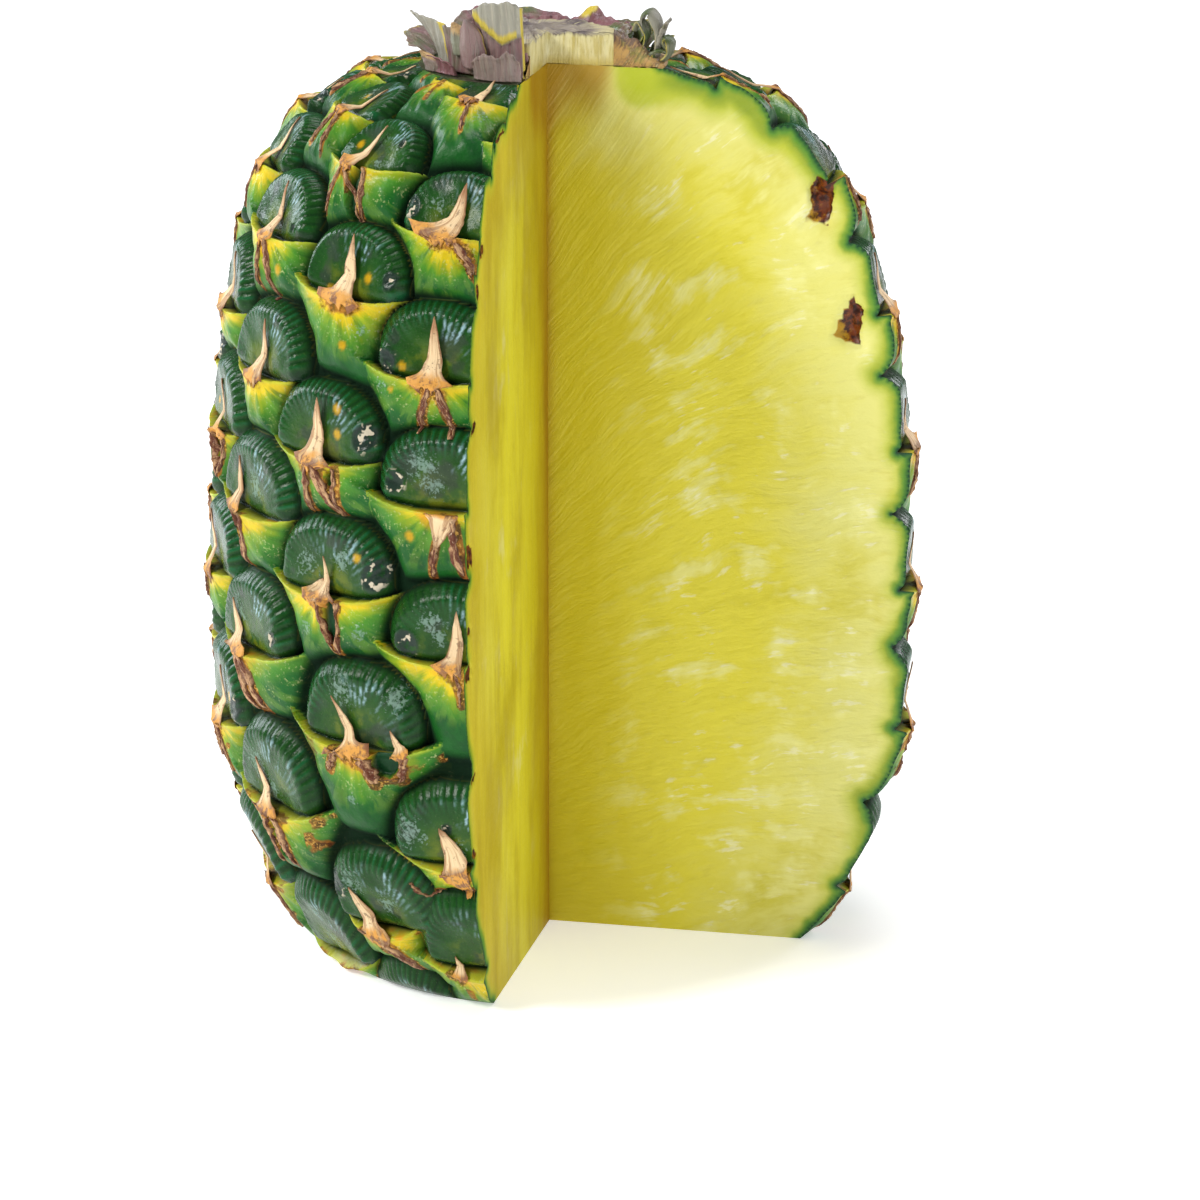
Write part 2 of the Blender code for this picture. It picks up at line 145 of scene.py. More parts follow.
# Grooves get painted shade from this far below the hull, darkest this much further down.
SHADE_START = 1.2
SHADE_SPAN = 2.3
# Painted glints lie on the flutes round this direction of a dome, from its right.
GLINT_TURN = 1.15
# Below this eye the bracts are torn and dry in patches, fully so this many eyes further down.
LOW_EYES = -44
LOW_EYES_SPAN = 14.0
# Chance habits: a split bract, each dry strip of one that isn't split, and an eyelet.
SPLIT_CHANCE = 0.33
STRIP_CHANCE = 0.7
EYELET_CHANCE = 0.6

# No point belongs to an eye whose ledge is further from it than this along the hull.
EYE_REACH = 30.0
# The rind's grid is drawn towards each ledge within this reach, down to this share of the distance.
LEDGE_REACH = 2.2
LEDGE_KEEP = 0.12
# How often the left cut face's line and the grid that ends on it are worked out again.
CUT_ROUNDS = 8
GRID_ROUNDS = 2

# How the spots and tears of single eyes differ, by eye number. A place is (across in half widths, up from the
# ledge in mm). A spike has a foot across, a length, a lean to the right in degrees, a width, how far its tip
# stands off and how wide its torn hem is. A second spike is (foot, length, lean, width). A hole is the
# lens-shaped gap of a split bract: (across, top, bottom, half width). A leg is a dry strip on the bract:
# (from, to, width). Dots, eyelets and patches of wax with painted sheen are (place, size), and rust is how
# strong the stain under the spike is.
HABITS = {
    29: dict(foot=-0.16, length=9.5, lean=20, width=6.2, lift=1.5, hem=4.4,
             legs=(((-0.08, -1.0), (0.02, -8.0), 1.3),), wax_and_sheen=((0.3, -4.0, 2.6),)),
    18: dict(foot=-0.34, length=10.2, lean=30, width=2.6, lift=2.2, hem=2.6, hole=(-0.05, 0.0, -8.2, 1.75),
             legs=(((-0.42, -0.6), (-0.62, -8.8), 1.1), ((-0.34, -0.6), (0.1, -8.4), 1.3),
                   ((0.1, -0.5), (0.14, -8.6), 1.3)),
             dots=((-0.45, 4.6, 0.95),), eyelet=(0.5, 6.0, 1.0), wax_and_sheen=((-0.62, 2.6, 2.2), (0.1, 2.4, 1.8))),
    11: dict(foot=-0.05, length=9.8, lean=17, width=5.0, lift=1.8, hem=5.6, hem_side=-0.55,
             legs=(((0.1, -1.0), (0.42, -6.8), 2.2),), eyelet=(-0.72, 4.2, 2.0), wax_and_sheen=((-0.3, 5.5, 2.0),)),
    7: dict(foot=0.0, length=10.0, lean=6, width=3.2, lift=1.2, hem=3.0,
            legs=(((-0.1, -0.6), (-0.16, -8.5), 1.4), ((0.06, -0.6), (0.24, -10.0), 1.5)),
            dots=((0.42, -4.9, 1.0),), eyelet=(0.52, 2.4, 0.8)),
    0: dict(foot=-0.02, length=10.9, lean=10, width=4.3, lift=2.6, hem=5.6,
            dots=((0.34, 4.0, 0.95), (-0.33, 1.2, 0.8), (0.0, 6.6, 0.8), (0.05, -7.4, 0.85)),
            eyelet=(0.72, 3.4, 1.5), wax_and_sheen=((0.3, -4.4, 1.6),), rust=1.0),
    -7: dict(foot=-0.03, length=10.8, lean=4, width=4.2, lift=2.6, hem=4.4,
             legs=(((-0.05, -0.8), (-0.26, -8.6), 1.5), ((0.08, -0.8), (0.22, -8.8), 1.6)),
             dots=((-0.47, 1.9, 0.85), (-0.6, -2.2, 0.6)), eyelet=(-0.7, 2.0, 2.0),
             wax_and_sheen=((-0.75, -2.4, 1.6),)),
    -11: dict(foot=0.0, length=10.0, lean=8, width=3.2, lift=1.2, hem=3.4, rust=0.5),
    -18: dict(foot=-0.06, length=10.8, lean=8, width=4.4, lift=2.4, hem=4.6, hem_side=0.25,
              hole=(0.26, -1.2, -4.6, 0.75),
              legs=(((-0.1, -0.5), (-0.16, -8.8), 1.5), ((0.02, -0.5), (0.34, -8.8), 2.3),
                    ((0.36, -0.6), (0.36, -8.4), 1.4)),
              dots=((0.3, 9.2, 1.0), (0.3, 5.0, 0.95)), eyelet=(0.73, 4.4, 2.3),
              wax_and_sheen=((-0.3, -5.0, 1.6),), rust=1.0),
    -25: dict(foot=0.05, length=5.8, lean=-8, width=5.6, lift=1.0, hem=3.2, fall=True,
              legs=(((-0.04, -5.0), (-0.14, -11.2), 1.2), ((0.16, -0.6), (0.3, -10.6), 1.9)),
              dots=((-0.4, -4.6, 0.95),), eyelet=(-0.62, 3.6, 1.9),
              wax_and_sheen=((-0.25, 7.0, 3.8), (-0.1, 4.0, 2.6))),
    -29: dict(foot=-0.3, length=9.0, lean=4, width=2.8, lift=0.6, hem=3.0, hole=(-0.2, -0.4, -8.6, 1.7),
              legs=(((-0.36, -0.4), (-0.2, -9.6), 1.5), ((-0.04, -0.4), (-0.12, -9.6), 1.4)),
              wax_and_sheen=((0.1, 5.0, 3.0), (-0.1, -5.0, 2.0))),
    -36: dict(foot=0.0, length=7.2, lean=3, width=1.9, lift=2.6, hem=3.2, flap=True,
              hole=(0.1, 0.0, -7.8, 1.65),
              legs=(((-0.06, -0.3), (0.1, -9.6), 1.1), ((0.24, -0.3), (0.12, -9.8), 1.4)),
              dots=((0.48, 7.2, 0.9),), eyelet=(0.74, 4.0, 2.6),
              wax_and_sheen=((-0.35, 5.0, 3.4), (0.25, 6.6, 2.8), (0.5, -5.6, 2.4), (-0.3, -5.6, 2.0))),
    -43: dict(foot=0.02, length=9.6, lean=3, width=3.4, lift=1.8, hem=3.6,
              legs=(((0.02, -0.6), (0.1, -6.6), 0.8), ((0.08, -0.6), (0.24, -8.0), 0.8)),
              eyelet=(-0.62, 2.6, 2.2), wax_and_sheen=((-0.3, 7.0, 3.0), (-0.2, 4.4, 2.2))),
    -47: dict(foot=-0.25, length=8.4, lean=-10, width=3.8, lift=0.8, hem=5.0,
              legs=(((-0.2, -0.4), (0.1, -9.6), 2.6), ((-0.02, -0.4), (0.3, -8.8), 2.8)),
              eyelet=(0.62, 3.4, 1.2), wax_and_sheen=((-0.3, 6.0, 3.0), (-0.1, -6.0, 2.4)), rust=1.0),
    -54: dict(foot=0.02, length=9.8, lean=-22, width=2.6, lift=3.2, hem=5.2, hem_side=-0.3,
              hole=(0.42, 0.0, -4.0, 3.0), second=(0.68, 4.6, -22, 1.9),
              legs=(((0.1, -0.6), (0.3, -4.6), 2.6), ((0.28, -4.2), (0.62, -4.0), 1.2),
                    ((0.7, -0.4), (0.66, -4.6), 1.6), ((-0.3, -0.8), (-0.38, -4.0), 1.8)),
              wax_and_sheen=((-0.2, 9.0, 3.4), (0.6, 8.6, 3.2), (-0.1, -8.4, 1.6)), rust=1.0),
    -61: dict(foot=0.04, length=8.6, lean=-20, width=5.4, lift=1.6, hem=3.7, apron=6.5,
              legs=(((-0.72, -4.4), (-0.5, -6.6), 1.0), ((-0.5, -6.6), (-0.3, -5.0), 1.1)),
              eyelet=(-0.1, 6.4, 1.0), wax_and_sheen=((-0.6, 5.0, 3.4), (0.0, 3.0, 2.4)), rust=1.0),
    -65: dict(foot=-0.1, length=9.0, lean=-12, width=3.4, lift=0.7, hem=5.0, hole=(0.0, -0.3, -7.6, 1.6),
              legs=(((-0.16, -0.4), (-0.16, -9.0), 2.0), ((0.14, -0.4), (0.2, -8.4), 2.4)),
              wax_and_sheen=((-0.3, 6.0, 3.4), (0.0, 2.4, 3.0)), rust=1.0),
    -72: dict(foot=-0.2, length=9.4, lean=-20, width=4.8, lift=0.7, hem=4.6, apron=3.0,
              legs=(((-0.05, -1.6), (0.3, -7.6), 4.0),), eyelet=(-0.68, 6.6, 2.0),
              wax_and_sheen=((-0.4, 8.0, 3.2), (0.1, 5.0, 2.6)), rust=1.0),
    -76: dict(foot=-0.1, length=8.6, lean=-14, width=3.6, lift=0.5, hem=4.8,
              legs=(((-0.1, -0.6), (0.1, -8.0), 2.4),), wax_and_sheen=((-0.2, 5.0, 3.0),), rust=1.0),
    -79: dict(foot=-0.3, length=3.6, lean=-10, width=1.8, lift=0.4, hem=1.8),
}

# The marks that the rind carries for its colours.
MARKS = ("dome", "ring", "turn", "rise", "drop", "across", "deep", "rust", "dot", "wax_and_sheen", "eyelet", "hole", "luck",
         "flute", "glint")


def paint(red, green, blue):
    """A colour given as 0 to 255, as Blender's linear numbers."""
    return tuple(((c / 255 + 0.055) / 1.055) ** 2.4 if c > 10 else c / 255 / 12.92 for c in (red, green, blue))


def smoothstep(low, high, value):
    """0 below low, 1 above high and a smooth rise between them."""
    t = np.clip((value - low) / (high - low), 0.0, 1.0)
    return t * t * (3.0 - 2.0 * t)


def falling(low, high, value):
    """1 below low, 0 above high and a smooth fall between them."""
    return 1.0 - smoothstep(low, high, value)


def bell(value, width=1.0):
    """1 where the value is 0, with a smooth fall to both sides."""
    return np.exp(-((value / width) ** 2))


def down_grid(count, low=0.0, high=1.0):
    """Evenly spaced numbers, one for each row of a grid."""
    return np.linspace(low, high, count)[:, None]


def across_grid(count, low=0.0, high=1.0):
    """Evenly spaced numbers, one for each column of a grid."""
    return np.linspace(low, high, count)[None, :]


def spline(a, b, c, d, t):
    """The smooth curve from b, where t is 0, to c, where it is 1, with a before and d after them."""
    return 0.5 * (2 * b + (c - a) * t + (2 * a - 5 * b + 4 * c - d) * t**2 + (3 * b - a - 3 * c + d) * t**3)


def lengthened(points):
    """The points of a curve with one more in line before its first and after its last."""
    return np.vstack([2 * points[0] - points[1], points, 2 * points[-1] - points[-2]])


def ripples(x, y, seed):
    """Smooth noise from -1 to 1 with about one bump for each unit of x and y."""
    table = np.random.default_rng(seed).uniform(-1.0, 1.0, (64, 64))
    column, row = np.floor(x).astype(int), np.floor(y).astype(int)
    across, up = x - column, y - row
    across, up = across * across * (3 - 2 * across), up * up * (3 - 2 * up)
    corner = [table[(row + j) % 64, (column + i) % 64] for j in (0, 1) for i in (0, 1)]
    low = corner[0] + (corner[1] - corner[0]) * across
    high = corner[2] + (corner[3] - corner[2]) * across
    return low + (high - low) * up


# Settings that a user would change


def colour_setting(name, description, default):
    return bpy.props.FloatVectorProperty(
        name=name, description=description, size=3, subtype="COLOR", default=default)


def length_setting(name, description, default, least=0.0):
    """A length given in millimetres, which Blender keeps in metres."""
    return bpy.props.FloatProperty(
        name=name, description=description, default=default * MM, min=least * MM, unit="LENGTH")


class RindSettings(bpy.types.PropertyGroup):
    step: length_setting("Step", "Distance between two points of the rind", 0.42, 0.3)
    flutes: length_setting("Flutes", "Height of the flutes on a dome's rim", 0.14)
    dome: colour_setting("Dome", "Colour of a dome's rim", paint(24, 70, 22))
    dome_middle: colour_setting("Dome middle", "Colour of a dome's middle", paint(62, 96, 30))
    bract: colour_setting("Bract", "Colour of a bract below its ledge", paint(216, 190, 24))
    bract_foot: colour_setting("Bract foot", "Colour of the lower end of a bract", paint(20, 90, 28))
    rust: colour_setting("Rust", "Colour of the dry stains round a spike", paint(158, 92, 34))


class SpikeSettings(bpy.types.PropertyGroup):
    thickness: length_setting("Thickness", "Thickness of a dry spike", 0.3)
    blade: colour_setting("Blade", "Colour of a spike's dry blade", paint(236, 206, 160))
    base: colour_setting("Base", "Colour of a spike's torn base", paint(214, 146, 34))


class FleshSettings(bpy.types.PropertyGroup):
    flesh: colour_setting("Flesh", "Colour of the ripe flesh", paint(228, 218, 60))
    pale: colour_setting("Pale flesh", "Colour of the flesh inside the rind", paint(228, 226, 138))
    core: colour_setting("Core", "Colour of the core", paint(208, 194, 36))


class StageSettings(bpy.types.PropertyGroup):
    floor: colour_setting("Floor", "Colour of the floor", (0.93, 0.93, 0.93))
    distance: length_setting("Camera distance", "From the camera to the middle of the fruit", 900)


# Materials


class Value:
    """A socket of a material. Arithmetic on it adds Math nodes."""

    def __init__(self, tree, socket):
        self.tree, self.socket = tree, socket

    def math(self, operation, *others):
        return self.tree.add("ShaderNodeMath", {"operation": operation}, (self, *others))

    def __add__(self, other):
        return self.math("ADD", other)

    def __sub__(self, other):
        return self.math("SUBTRACT", other)

    def __rsub__(self, other):
        return self.tree.add("ShaderNodeMath", {"operation": "SUBTRACT"}, (other, self))

    def __mul__(self, other):
        return self.math("MULTIPLY", other)

    __radd__, __rmul__ = __add__, __mul__

    def __abs__(self):
        return self.math("ABSOLUTE")

    def clamped(self):
        return self.tree.add("ShaderNodeMath", {"operation": "ADD", "use_clamp": True}, (self, 0.0))

    def step(self, low, high):
        """0 below low, 1 above high and a smooth rise between them."""
        return self.tree.add(
            "ShaderNodeMapRange", {"interpolation_type": "SMOOTHSTEP"}, (self, low, high, 0.0, 1.0))

    def below(self, low, high):
        """1 below low, 0 above high and a smooth fall between them."""
        return 1.0 - self.step(low, high)


class Material:
    """A procedural material around one Principled BSDF."""

    def __init__(self, name):
        self.material = bpy.data.materials.new(name)
        self.material.use_nodes = True
        self.nodes = self.material.node_tree.nodes
        self.links = self.material.node_tree.links
        self.shader = self.nodes["Principled BSDF"]

    def connect(self, socket, value):
        """Links a value to a socket, or sets a plain number or colour on it."""
        if isinstance(value, Value):
            self.links.new(value.socket, socket)
        elif socket.type == "RGBA":
            socket.default_value = (*value, 1.0)
        else:
            socket.default_value = value

    def add(self, kind, settings=None, values=(), output=0):
        """A node of this type. Its settings come first, then the values or links of its sockets."""
        node = self.nodes.new(kind)
        for name, setting in (settings or {}).items():
            setattr(node, name, setting)
        pairs = values.items() if isinstance(values, dict) else enumerate(values)
        for key, value in pairs:
            self.connect(node.inputs[key], value)
        return Value(self, node.outputs[output])

    def marks(self, *names):
        """Numbers that the mesh carries at each point."""
        return [self.add("ShaderNodeAttribute", {"attribute_name": name}, output=2) for name in names]

    def vector(self, x, y, z):
        return self.add("ShaderNodeCombineXYZ", values=(x, y, z))

    def noise(self, scale, detail=3.0, roughness=0.55, at=None):
        """Noise round 0.5, with about scale bumps for each metre, or each unit of its own coordinates."""
        at = at or self.add("ShaderNodeTexCoord", output=3)
        values = {"Vector": at, "Scale": scale, "Detail": detail, "Roughness": roughness}
        return self.add("ShaderNodeTexNoise", values=values)

    def fibres(self, detail, roughness, x, y, z):
        """Noise along the mesh's own marks instead of its place."""
        return self.noise(1.0, detail, roughness, self.vector(x, y, z))

    def mix(self, low, high, factor):
        return self.add("ShaderNodeMix", {"data_type": "RGBA"}, {0: factor, 6: low, 7: high}, output=2)

    def coated(self, colour, *coats):
        """The colour under coats of paint, each given with how much of it covers what is below."""
        for coat, cover in coats:
            colour = self.mix(colour, coat, cover)
        return colour

    def darken(self, colour, factor):
        """The colour times a grey factor."""
        grey = self.vector(factor, factor, factor)
        settings = {"data_type": "RGBA", "blend_type": "MULTIPLY"}
        return self.add("ShaderNodeMix", settings, {0: 1.0, 6: colour, 7: grey}, output=2)

    def bump(self, height, distance, strength=1.0):
        return self.add("ShaderNodeBump", values={"Height": height, "Distance": distance, "Strength": strength})

    def finish(self, **inputs):
        """Feeds the shader's inputs, named with _ for a space, and returns the material."""
        for name, value in inputs.items():
            self.connect(self.shader.inputs[name.replace("_", " ")], value)
        return self.material


def rind_material(settings):
    """Glossy green domes with painted glints in grooves of painted shade, and yellow to green bracts with rust,
    spots and wax with painted sheen.
    """
    m = Material("rind_skin")
    (dome, ring, turn, rise, drop, across, deep, rust, dot, wax_and_sheen, eyelet, hole, luck, flute,
     glint) = m.marks(*MARKS)
    broad, patch = m.noise(95.0), m.noise(260.0, 3.0, 0.6)
    fine, grain = m.noise(620.0, 4.0, 0.6), m.noise(1900.0, 3.0, 0.6)

    olive = (ring.below(0.15, 0.75) * (0.25 + patch) * (0.3 + luck * 0.7)).clamped()
    warm = ring.below(0.15, 0.6) * rise.below(3.0, 9.0) * patch.step(0.44, 0.6)
    dusky = m.noise(150.0).step(0.53, 0.64) * ring.below(0.7, 0.9)
    # Painted highlights on the flute crests.
    painted_flute_highlight = flute.clamped() * broad.step(0.4, 0.6)
    dome_colour = m.coated(
        settings.dome, (settings.dome_middle, olive), (paint(120, 124, 28), warm * 0.55),
        # Dusky patches, then painted shade in the hollows between the flutes.
        (paint(56, 56, 58), dusky * 0.5), (paint(4, 30, 18), (flute * -1.0).clamped() * 0.5),
        (paint(26, 114, 74), painted_flute_highlight * 0.45), (paint(84, 108, 52), grain.step(0.6, 0.74) * 0.25),
        # Painted shadow: the dome's foot under the bract's ledge is painted dark.
        (paint(8, 40, 24), rise.below(0.0, 1.1) * 0.8))

    spoke = m.fibres(3.0, 0.6, turn * 0.9, drop * 0.16, luck * 9.0)
    ragged_edge = drop + (broad - 0.5) * 5.0 + (spoke - 0.5) * 5.5 + (patch - 0.5) * 4.5
    fall = ragged_edge + abs(across) * 5.0 + luck * 2.0 - 2.0
    streaks = spoke.step(0.46, 0.6) * drop.step(2.5, 5.0) * drop.below(8.5, 11.0)
    blotches = (patch * 0.6 + broad * 0.4).step(0.44, 0.6) * drop.step(4.5, 9.0)
    pale = grain.step(0.52, 0.68) * fine.step(0.46, 0.62) * drop.below(5.0, 10.0)
    burnt = (broad * 0.4 + patch * 0.6).step(0.5, 0.62) * (drop + abs(across) * 7.0).below(1.6, 5.0)
    bract_colour = m.coated(
        settings.bract, (paint(138, 160, 26), fall.step(1.2, 3.4)), (paint(70, 130, 32), fall.step(2.8, 5.6)),
        (settings.bract_foot, fall.step(4.8, 8.4)),
        (paint(22, 70, 22), spoke.step(0.54, 0.7) * drop.step(0.6, 2.0) * 0.4),
        (paint(116, 160, 52), streaks * 0.4), (paint(8, 48, 22), blotches * 0.6),
        (paint(170, 190, 56), drop.below(0.1, 0.8) * 0.6), (paint(196, 204, 136), pale * 0.6),
        (paint(214, 128, 20), burnt * 0.7))

    # Painted shade: the grooves are painted darker the deeper they lie.
    shade = deep.step(0.12, 0.85)
    ragged = (rust + (fine - 0.5) * 1.1 * rust.step(0.02, 0.4)).step(0.34, 0.66)
    dried = m.coated(
        settings.rust, (paint(84, 36, 16), fine.step(0.42, 0.58)),
        (paint(214, 158, 74), grain.step(0.5, 0.62) * patch.step(0.4, 0.55)))
    # Wax patches that are also painted sheen: pale blue-white where the skin shines.
    waxy_sheen = (wax_and_sheen * 0.95 + (grain - 0.5) * 2.2 + (fine - 0.5) * 1.6).step(0.62, 1.05)
    scar = (eyelet * fine.step(0.3, 0.5)).clamped()
    fleck = (eyelet * m.noise(520.0, 2.0).step(0.57, 0.62)).clamped()
    colour = m.coated(bract_colour, (dome_colour, dome), (paint(14, 62, 30), hole))
    colour = m.coated(
        m.darken(colour, 0.52 + patch * 0.96), (paint(4, 20, 12), shade * 0.9), (dried, ragged * 0.85),
        (m.mix(paint(214, 176, 20), paint(176, 122, 16), grain), dot * 0.9), (paint(150, 178, 166), waxy_sheen * 0.5),
        # Painted highlights: glints on the flutes.
        (paint(172, 206, 218), glint * fine.step(0.34, 0.56) * 0.85), (paint(36, 46, 44), scar * 0.85),
        (paint(206, 194, 170), fleck))

    height = fine * 0.8 + grain * 0.35 + waxy_sheen * 0.3 + broad * 2.0
    gloss = 0.26 + (1.0 - dome) * 0.14 + waxy_sheen * 0.25 + ragged * 0.3 + (grain - 0.5) * 0.1 + shade * 0.5
    return m.finish(
        Base_Color=colour, Roughness=gloss.clamped(), Normal=m.bump(height, 0.00022, 0.9),
        Coat_Weight=(0.08 - shade * 0.3).clamped(), Coat_Roughness=0.1, IOR=1.4, Specular_IOR_Level=0.22)


def spike_material(settings):
    """Dry papery blades: cream with long streaks, an orange-brown torn base and a dark tip."""
    m = Material("dry_spike")
    along, side, tone = m.marks("along", "side", "tone")
    streak = m.fibres(4.0, 0.65, side * 3.4, along * 0.8, tone * 13.0)
    blotch = m.noise(420.0, 3.0, 0.6)
    base = (along + (blotch - 0.5) * 0.35).below(0.02, 0.2).clamped()
    hem = m.coated(
        settings.base, (paint(110, 54, 22), (blotch * 0.6 + streak * 0.4).step(0.47, 0.56)),
        (paint(226, 186, 120), streak.step(0.54, 0.68) * 0.8))
    tip = (along + (tone - 0.5) * 0.2 + (blotch - 0.5) * 0.3).step(0.62, 0.98)
    edge = abs(side).step(0.6, 1.0) * blotch.step(0.36, 0.56)
    fleck = m.noise(760.0, 4.0, 0.7).step(0.57, 0.64)
    colour = m.coated(
        settings.blade, (paint(160, 112, 66), (streak.step(0.47, 0.62) * 0.75).clamped()), (hem, base * 0.9),
        (paint(150, 88, 40), tip * 0.75), (paint(138, 84, 44), edge * 0.7), (paint(104, 66, 38), fleck * 0.6))
    return m.finish(Base_Color=colour, Roughness=0.62, Normal=m.bump(streak + blotch * 0.5, 0.0003, 0.8))


def leg_material():
    """Dry strips on a bract: tan fibres with dark red-brown between them."""
    m = Material("dry_strip")
    along, side, tone = m.marks("along", "side", "tone")
    fibre = m.fibres(4.0, 0.65, side * 1.5, along * 3.2, tone * 17.0)
    blotch = m.noise(640.0, 4.0, 0.65)
    colour = m.coated(
        paint(208, 164, 118), (paint(104, 48, 20), (fibre * 0.6 + blotch * 0.4).step(0.42, 0.56)),
        (paint(226, 200, 166), fibre.step(0.6, 0.7) * blotch.step(0.5, 0.6)),
        (paint(84, 40, 20), abs(side).step(0.55, 1.0) * 0.7))
    return m.finish(Base_Color=colour, Roughness=0.62, Normal=m.bump(fibre + blotch, 0.0006))


def flesh_material(settings, name, shaded):
    """A cut face: slanting fibres, painted glints, a pale band and the rind's green edge, all deeper on the shaded
    face as painted shade.
    """
    m = Material(name)
    rind, flow, core, pit, edge, along, stain_with_corner_shade, pit_tone = m.marks(
        "rind", "flow", "core", "pit", "wave", "along", "stain_and_corner_shade", "pit_tone")
    fibre = m.fibres(5.0, 0.6, flow * 0.3, along * 0.06, 3.0)
    thread = m.fibres(4.0, 0.6, flow * 1.1, along * 0.2, 8.0)
    broad, cloud, grain = m.noise(42.0, 4.0, 0.6), m.noise(110.0, 3.0, 0.6), m.noise(900.0, 3.0, 0.6)

    # Painted shade: the shaded face keeps only this share of the pale band, the pale patches and the glints.
    strength = 0.35 if shaded else 1.0
    pale = (rind + (broad - 0.5) * 26.0 + (fibre - 0.5) * 22.0).below(2.0, 26.0).clamped()
    # Pale patches that partly paint sheen, and painted highlights along the fibres.
    light = (fibre * 0.6 + cloud * 0.4).step(0.5, 0.62) * core.step(0.15, 0.7)
    glint = (thread * 0.55 + cloud * 0.45).step(0.56, 0.64) * core.step(0.25, 0.8)
    colour = m.coated(
        settings.core, (settings.flesh, (core + (broad - 0.5) * 0.6).step(0.15, 0.8)),
        (settings.pale, pale * 0.85 * strength),
        (paint(200, 190, 30), (broad * 0.5 + fibre * 0.5).step(0.5, 0.62) * 0.45),
        (paint(240, 238, 156), light * 0.7 * strength), (paint(248, 246, 206), glint * 0.7 * strength),
        (paint(184, 170, 26), (thread.step(0.54, 0.74) * 0.22).clamped()))
    # Painted shade: the shaded face is painted a deeper yellow and ochre.
    if shaded:
        colour = m.coated(
            colour, (paint(206, 186, 38), rind.below(3.0, 24.0) * 0.8),
            (paint(170, 144, 26), (fibre * 0.75 + broad * 0.25).step(0.4, 0.66) * 0.62))

    skin = rind + (cloud - 0.5) * 1.2 + (grain - 0.5) * 0.3
    green = skin - edge
    inner = skin * 0.35 + green * 0.65 + (broad - 0.5) * 4.0
    olive = m.mix(paint(136, 158, 38), paint(184, 196, 46), (edge + (broad - 0.5) * 5.0).step(2.6, 6.0))
    tone = pit_tone + (grain - 0.5) * 0.8 + (cloud - 0.5) * 0.9
    rotten = m.mix(paint(112, 50, 14), paint(58, 26, 16), grain.step(0.42, 0.6))
    colour = m.coated(
        # Ochre stain at the top, and painted shade along the inner corner where the two faces meet.
        colour, (paint(164, 118, 20), (stain_with_corner_shade + (fibre - 0.5) * 0.8 * stain_with_corner_shade).step(0.05, 1.0) * 0.8),
        (paint(186, 196, 50), green.below(0.8, 4.6) * (0.5 if shaded else 0.9)),
        (olive, inner.below(0.4, 2.8) * 0.9),
        (paint(82, 142, 40), (skin + (cloud - 0.5) * 3.0).below(0.4, 2.0) * 0.9),
        (paint(20, 82, 34), skin.below(0.1, 1.1)), (paint(14, 50, 24), rind.below(0.05, 0.5)),
        (m.mix(paint(186, 142, 24), rotten, tone.step(0.3, 0.62)), pit.step(0.35, 0.65)))
    height = fibre * 1.0 + thread * 0.5 + grain * 0.25
    gloss = (0.55 if shaded else 0.38) + (fibre - 0.5) * 0.3 + (grain - 0.5) * 0.2
    return m.finish(
        Base_Color=colour, Roughness=gloss.clamped(), Normal=m.bump(height, 0.0006, 0.5),
        Coat_Weight=0.0 if shaded else 0.1, Coat_Roughness=0.2, IOR=1.36,
        Specular_IOR_Level=0.15 if shaded else 0.45)


def scar_material(name, light, dark):
    """A dry, fibrous cut end."""
    m = Material(name)
    blotch, grain = m.noise(180.0, 5.0, 0.65), m.noise(900.0, 3.0, 0.6)
    colour = m.coated(light, (dark, blotch.step(0.38, 0.62)),
                      (paint(60, 42, 26), grain.step(0.6, 0.74) * 0.6))
    return m.finish(Base_Color=colour, Roughness=0.72, Normal=m.bump(blotch + grain * 0.5, 0.0009, 0.9))


# The hull, the eyes and the relief of the rind


class Hull:
    """The smooth barrel that the eyes stand on, measured by arc length from the edge of its base."""

    def __init__(self):
        points = lengthened(np.array(OUTLINE))
        t = np.linspace(0.0, 1.0, OUTLINE_STEPS, endpoint=False)[:, None]
        runs = [spline(*corners, t) for corners in zip(points, points[1:], points[2:], points[3:])]
        curve = np.vstack(runs + [[OUTLINE[-1]]])
        self.s = np.concatenate([[0.0], np.cumsum(np.hypot(*np.diff(curve, axis=0).T))])
        self.r, self.z = curve.T
        slope = np.gradient(curve, self.s, axis=0)
        slope /= np.hypot(*slope.T)[:, None]
        self.nr, self.nz = slope[:, 1], -slope[:, 0]
        self.length = self.s[-1]

    def at(self, s):
        """Radius, height and the two parts of the outward normal at arc length s."""
        return [np.interp(s, self.s, values) for values in (self.r, self.z, self.nr, self.nz)]

    def raised(self, s, height):
        """Radius and level of points this high over the hull at arc length s."""
        r, z, nr, nz = self.at(s)
        return r + height * nr, np.clip(z + height * nz, 0.0, None)

    def place(self, angle, s, height):
        """Where a point of the relief lies."""
        reach, level = self.raised(s, height)
        return np.stack([reach * np.cos(angle) + lean(level), reach * np.sin(angle), level], axis=-1)


def lean(level):
    """How far the axis has drifted along X at this height."""
    return LEAN * (np.clip(level - LEAN_START, 0.0, None) / LEAN_SPAN) ** 1.5


